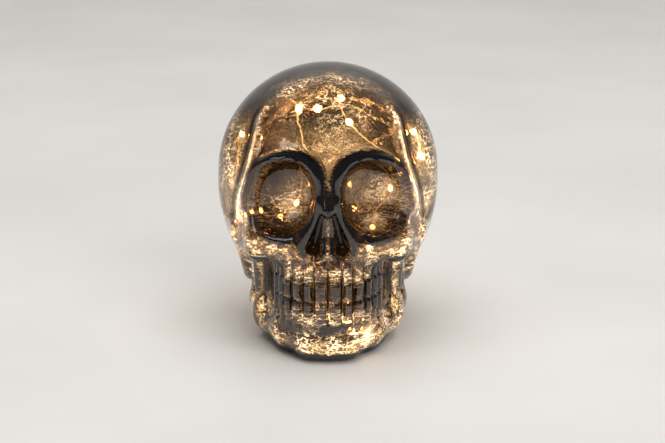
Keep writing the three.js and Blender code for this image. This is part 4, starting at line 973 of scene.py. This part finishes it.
# Battery unit under the skull: the part's own pieces, each with its finish
def mouldedBlack():
    paint = Paint("mouldedBlack")
    paint.setShader(IOR=1.5)
    tone = paint.noise(30.0, 3.0)
    paint.colour(paint.ramp(tone, [(0.3, (0.012, 0.012, 0.014)), (0.75, (0.022, 0.022, 0.025))]))
    paint.roughness(paint.spread(paint.noise(160.0), 0.38, 0.56))
    paint.bump(paint.noise(2600.0, 2.0), 0.35, 0.00008)
    return paint.material


def clearSilicone():
    paint = Paint("clearSilicone")
    paint.setShader(Transmission_Weight=0.45, IOR=1.42)
    paint.colour(paint.ramp(paint.noise(120.0, 2.0), [(0.3, (0.74, 0.74, 0.71)), (0.7, (0.86, 0.86, 0.83))]))
    paint.roughness(paint.spread(paint.noise(90.0), 0.3, 0.5))
    paint.bump(paint.noise(260.0, 2.0), 0.5, 0.0002)
    return paint.material


def platedSteel(name, dark, light, roughLow, roughHigh):
    paint = Paint(name)
    paint.setShader(Metallic=1.0)
    paint.colour(paint.ramp(paint.noise(110.0, 4.0), [(0.3, dark), (0.7, light)]))
    brushed = paint.add("ShaderNodeMapping")
    brushed.inputs["Scale"].default_value = (1.0, 1.0, 14.0)
    paint.link(paint.place, brushed.inputs["Vector"])
    lines = paint.noise(420.0, 3.0, place=brushed.outputs["Vector"])
    paint.roughness(paint.spread(lines, roughLow, roughHigh))
    paint.bump(lines, 0.12, 0.00005)
    return paint.material


def cellSleeve(name, node, plusHigh):
    # Steel at both ends, a plain green sleeve between, and a copper band at the plus end
    paint = Paint(name)
    low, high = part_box(node)
    along = paint.add("ShaderNodeSeparateXYZ")
    paint.link(paint.place, along.inputs["Vector"])
    ends = (low[1], high[1]) if plusHigh else (high[1], low[1])
    run = paint.spread(along.outputs["Y"], 0.0, 1.0, *ends)
    steel, green, copper = (0.62, 0.62, 0.63), (0.028, 0.105, 0.045), (0.60, 0.30, 0.13)
    starts = (0.0, 0.03, 0.77, 0.955)  # shares of the cell's length
    band = paint.ramp(run, list(zip(starts, (steel, green, copper, steel))))
    metal = paint.ramp(run, [(start, (share,) * 3) for start, share in zip(starts, (1, 0, 0.6, 1))])
    for stepped in (band, metal):
        stepped.node.color_ramp.interpolation = "CONSTANT"
    dull = paint.ramp(paint.noise(140.0), [(0.2, (0.7, 0.7, 0.7)), (0.8, (1, 1, 1))])
    paint.colour(paint.mixed(0.25, band, dull, "MULTIPLY"))
    paint.link(metal, paint.shader.inputs["Metallic"])
    paint.roughness(paint.spread(paint.noise(300.0), 0.22, 0.36))
    return paint.material


def boardLaminate():
    paint = Paint("boardLaminate")
    paint.setShader(Roughness=0.38)
    tracks = paint.add("ShaderNodeTexBrick")
    tracks.inputs["Scale"].default_value = 420.0
    tracks.inputs["Mortar Size"].default_value = 0.09
    tracks.inputs["Color1"].default_value = (0.022, 0.11, 0.045, 1)
    tracks.inputs["Color2"].default_value = (0.026, 0.125, 0.05, 1)
    tracks.inputs["Mortar"].default_value = (0.05, 0.20, 0.08, 1)
    paint.link(paint.place, tracks.inputs["Vector"])
    paint.colour(tracks.outputs["Color"])
    paint.bump(tracks.outputs["Fac"], 0.3, 0.00005)
    return paint.material


def plainPlastic(name, dark, light, roughness, grain):
    paint = Paint(name)
    paint.colour(paint.ramp(paint.noise(170.0, 3.0), [(0.3, dark), (0.7, light)]))
    paint.roughness(paint.spread(paint.noise(260.0), roughness - 0.06, roughness + 0.06))
    paint.bump(paint.noise(grain, 2.0), 0.2, 0.00006)
    return paint.material


def dressBatteryUnit():
    dress(mouldedBlack(), "battery_housing", "battery_door", "housing_cover", "switch_slider")
    dress(clearSilicone(), "bond_ring")
    dress(platedSteel("zincSteel", (0.42, 0.42, 0.43), (0.62, 0.62, 0.63), 0.24, 0.42),
          "cover_screw_1", "cover_screw_2", "cover_screw_3")
    dress(platedSteel("nickelContact", (0.62, 0.61, 0.58), (0.80, 0.79, 0.76), 0.16, 0.32),
          "contact_spring_1", "contact_spring_2", "contact_spring_3", "contact_plate_negative",
          "contact_plate_bridge_1", "contact_plate_bridge_2", "contact_plate_positive")
    for i, plusHigh in ((1, True), (2, False), (3, True)):
        dress(cellSleeve(f"cellSleeve{i}", f"cell_{i}", plusHigh), f"cell_{i}")
    dress(boardLaminate(), "timer_board")
    dress(plainPlastic("chipPotting", (0.008, 0.008, 0.009), (0.02, 0.02, 0.02), 0.22, 400.0), "timer_chip")
    dress(plainPlastic("blackInsulation", (0.01, 0.01, 0.01), (0.022, 0.022, 0.022), 0.4, 900.0),
          "battery_lead_black")
    dress(plainPlastic("redInsulation", (0.36, 0.01, 0.01), (0.5, 0.02, 0.015), 0.4, 900.0), "battery_lead_red")
    dress(platedSteel("tinnedCase", (0.55, 0.55, 0.54), (0.72, 0.72, 0.71), 0.2, 0.36), "switch_body")
    dress(plainPlastic("blackRubber", (0.014, 0.014, 0.015), (0.028, 0.028, 0.03), 0.75, 1400.0),
          "wire_grommet")


dressBatteryUnit()
print("battery unit dressed")


# Studio: a pale floor that sweeps up behind, a soft window light and two softer fills
studio = {
    "floor": (0.66, 0.64, 0.61),
    "sweep": (6.0, 1.8, 4.0),  # half width, depth behind the part, height
    "front": 6.0,
    "corner": 0.5,
    "cornerSteps": 10,
    "sky": (0.93, 0.95, 1.0),
    "air": 0.12,
    "lamps": {
        "window": {"at": (-1.25, -0.75, 0.75), "size": (0.7, 0.5), "power": 2.0, "shines": True},
        "top": {"at": (0.0, 0.0, 2.2), "size": (2.2, 2.2), "power": 54.0, "shines": False},
        "fill": {"at": (1.0, -1.4, 1.1), "size": (1.6, 1.4), "power": 20.0, "shines": False},
    },
}


def paleFloor(c):
    paint = Paint("paleFloor")
    tone = paint.noise(5.0, 5.0)
    base = Vector(c["floor"])
    paint.colour(paint.ramp(tone, [(0.3, tuple(base * 0.94)), (0.7, tuple(base * 1.04))]))
    paint.roughness(paint.spread(paint.noise(40.0), 0.42, 0.55))
    paint.bump(paint.noise(380.0), 0.1, 0.0002)
    return paint.material


def makeStudio(c):
    bm = bmesh.new()
    halfWidth, depth, height = c["sweep"]
    front = bmesh.ops.create_vert(bm, co=(-halfWidth, -c["front"], 0))["vert"][0]
    edge = [bm.edges.new((front, bm.verts.new((halfWidth, -c["front"], 0))))]
    corner = c["corner"]
    stops = [(depth - corner, 0.0)]
    stops += [(depth - corner + corner * math.sin(a), corner - corner * math.cos(a))
              for a in [math.pi / 2 * k / c["cornerSteps"] for k in range(1, c["cornerSteps"] + 1)]]
    stops.append((depth, height))
    for y, z in stops:
        made = bmesh.ops.extrude_edge_only(bm, edges=edge)["geom"]
        edge = [g for g in made if isinstance(g, bmesh.types.BMEdge)]
        for v in [g for g in made if isinstance(g, bmesh.types.BMVert)]:
            v.co.y, v.co.z = y, z
    mesh = bpy.data.meshes.new("floor")
    bm.to_mesh(mesh)
    bm.free()
    floor = bpy.data.objects.new("floor", mesh)
    scene.collection.objects.link(floor)
    mesh.materials.append(paleFloor(c))
    mesh.shade_smooth()
    world = bpy.data.worlds.new("studio")
    scene.world = world
    world.use_nodes = True
    sky = world.node_tree.nodes["Background"]
    sky.inputs["Color"].default_value = (*c["sky"], 1.0)
    sky.inputs["Strength"].default_value = c["air"]
    for name, lamp in c["lamps"].items():
        data = bpy.data.lights.new(name, "AREA")
        data.shape = "RECTANGLE"
        data.size, data.size_y = lamp["size"]
        data.energy = lamp["power"]
        obj = bpy.data.objects.new(name, data)
        scene.collection.objects.link(obj)
        obj.location = lamp["at"]
        obj.visible_glossy = obj.visible_transmission = lamp["shines"]
        away = Vector(lamp["at"]) - Vector(camera["target"])
        obj.rotation_euler = away.to_track_quat("Z", "Y").to_euler()


makeStudio(studio)
print("studio made")
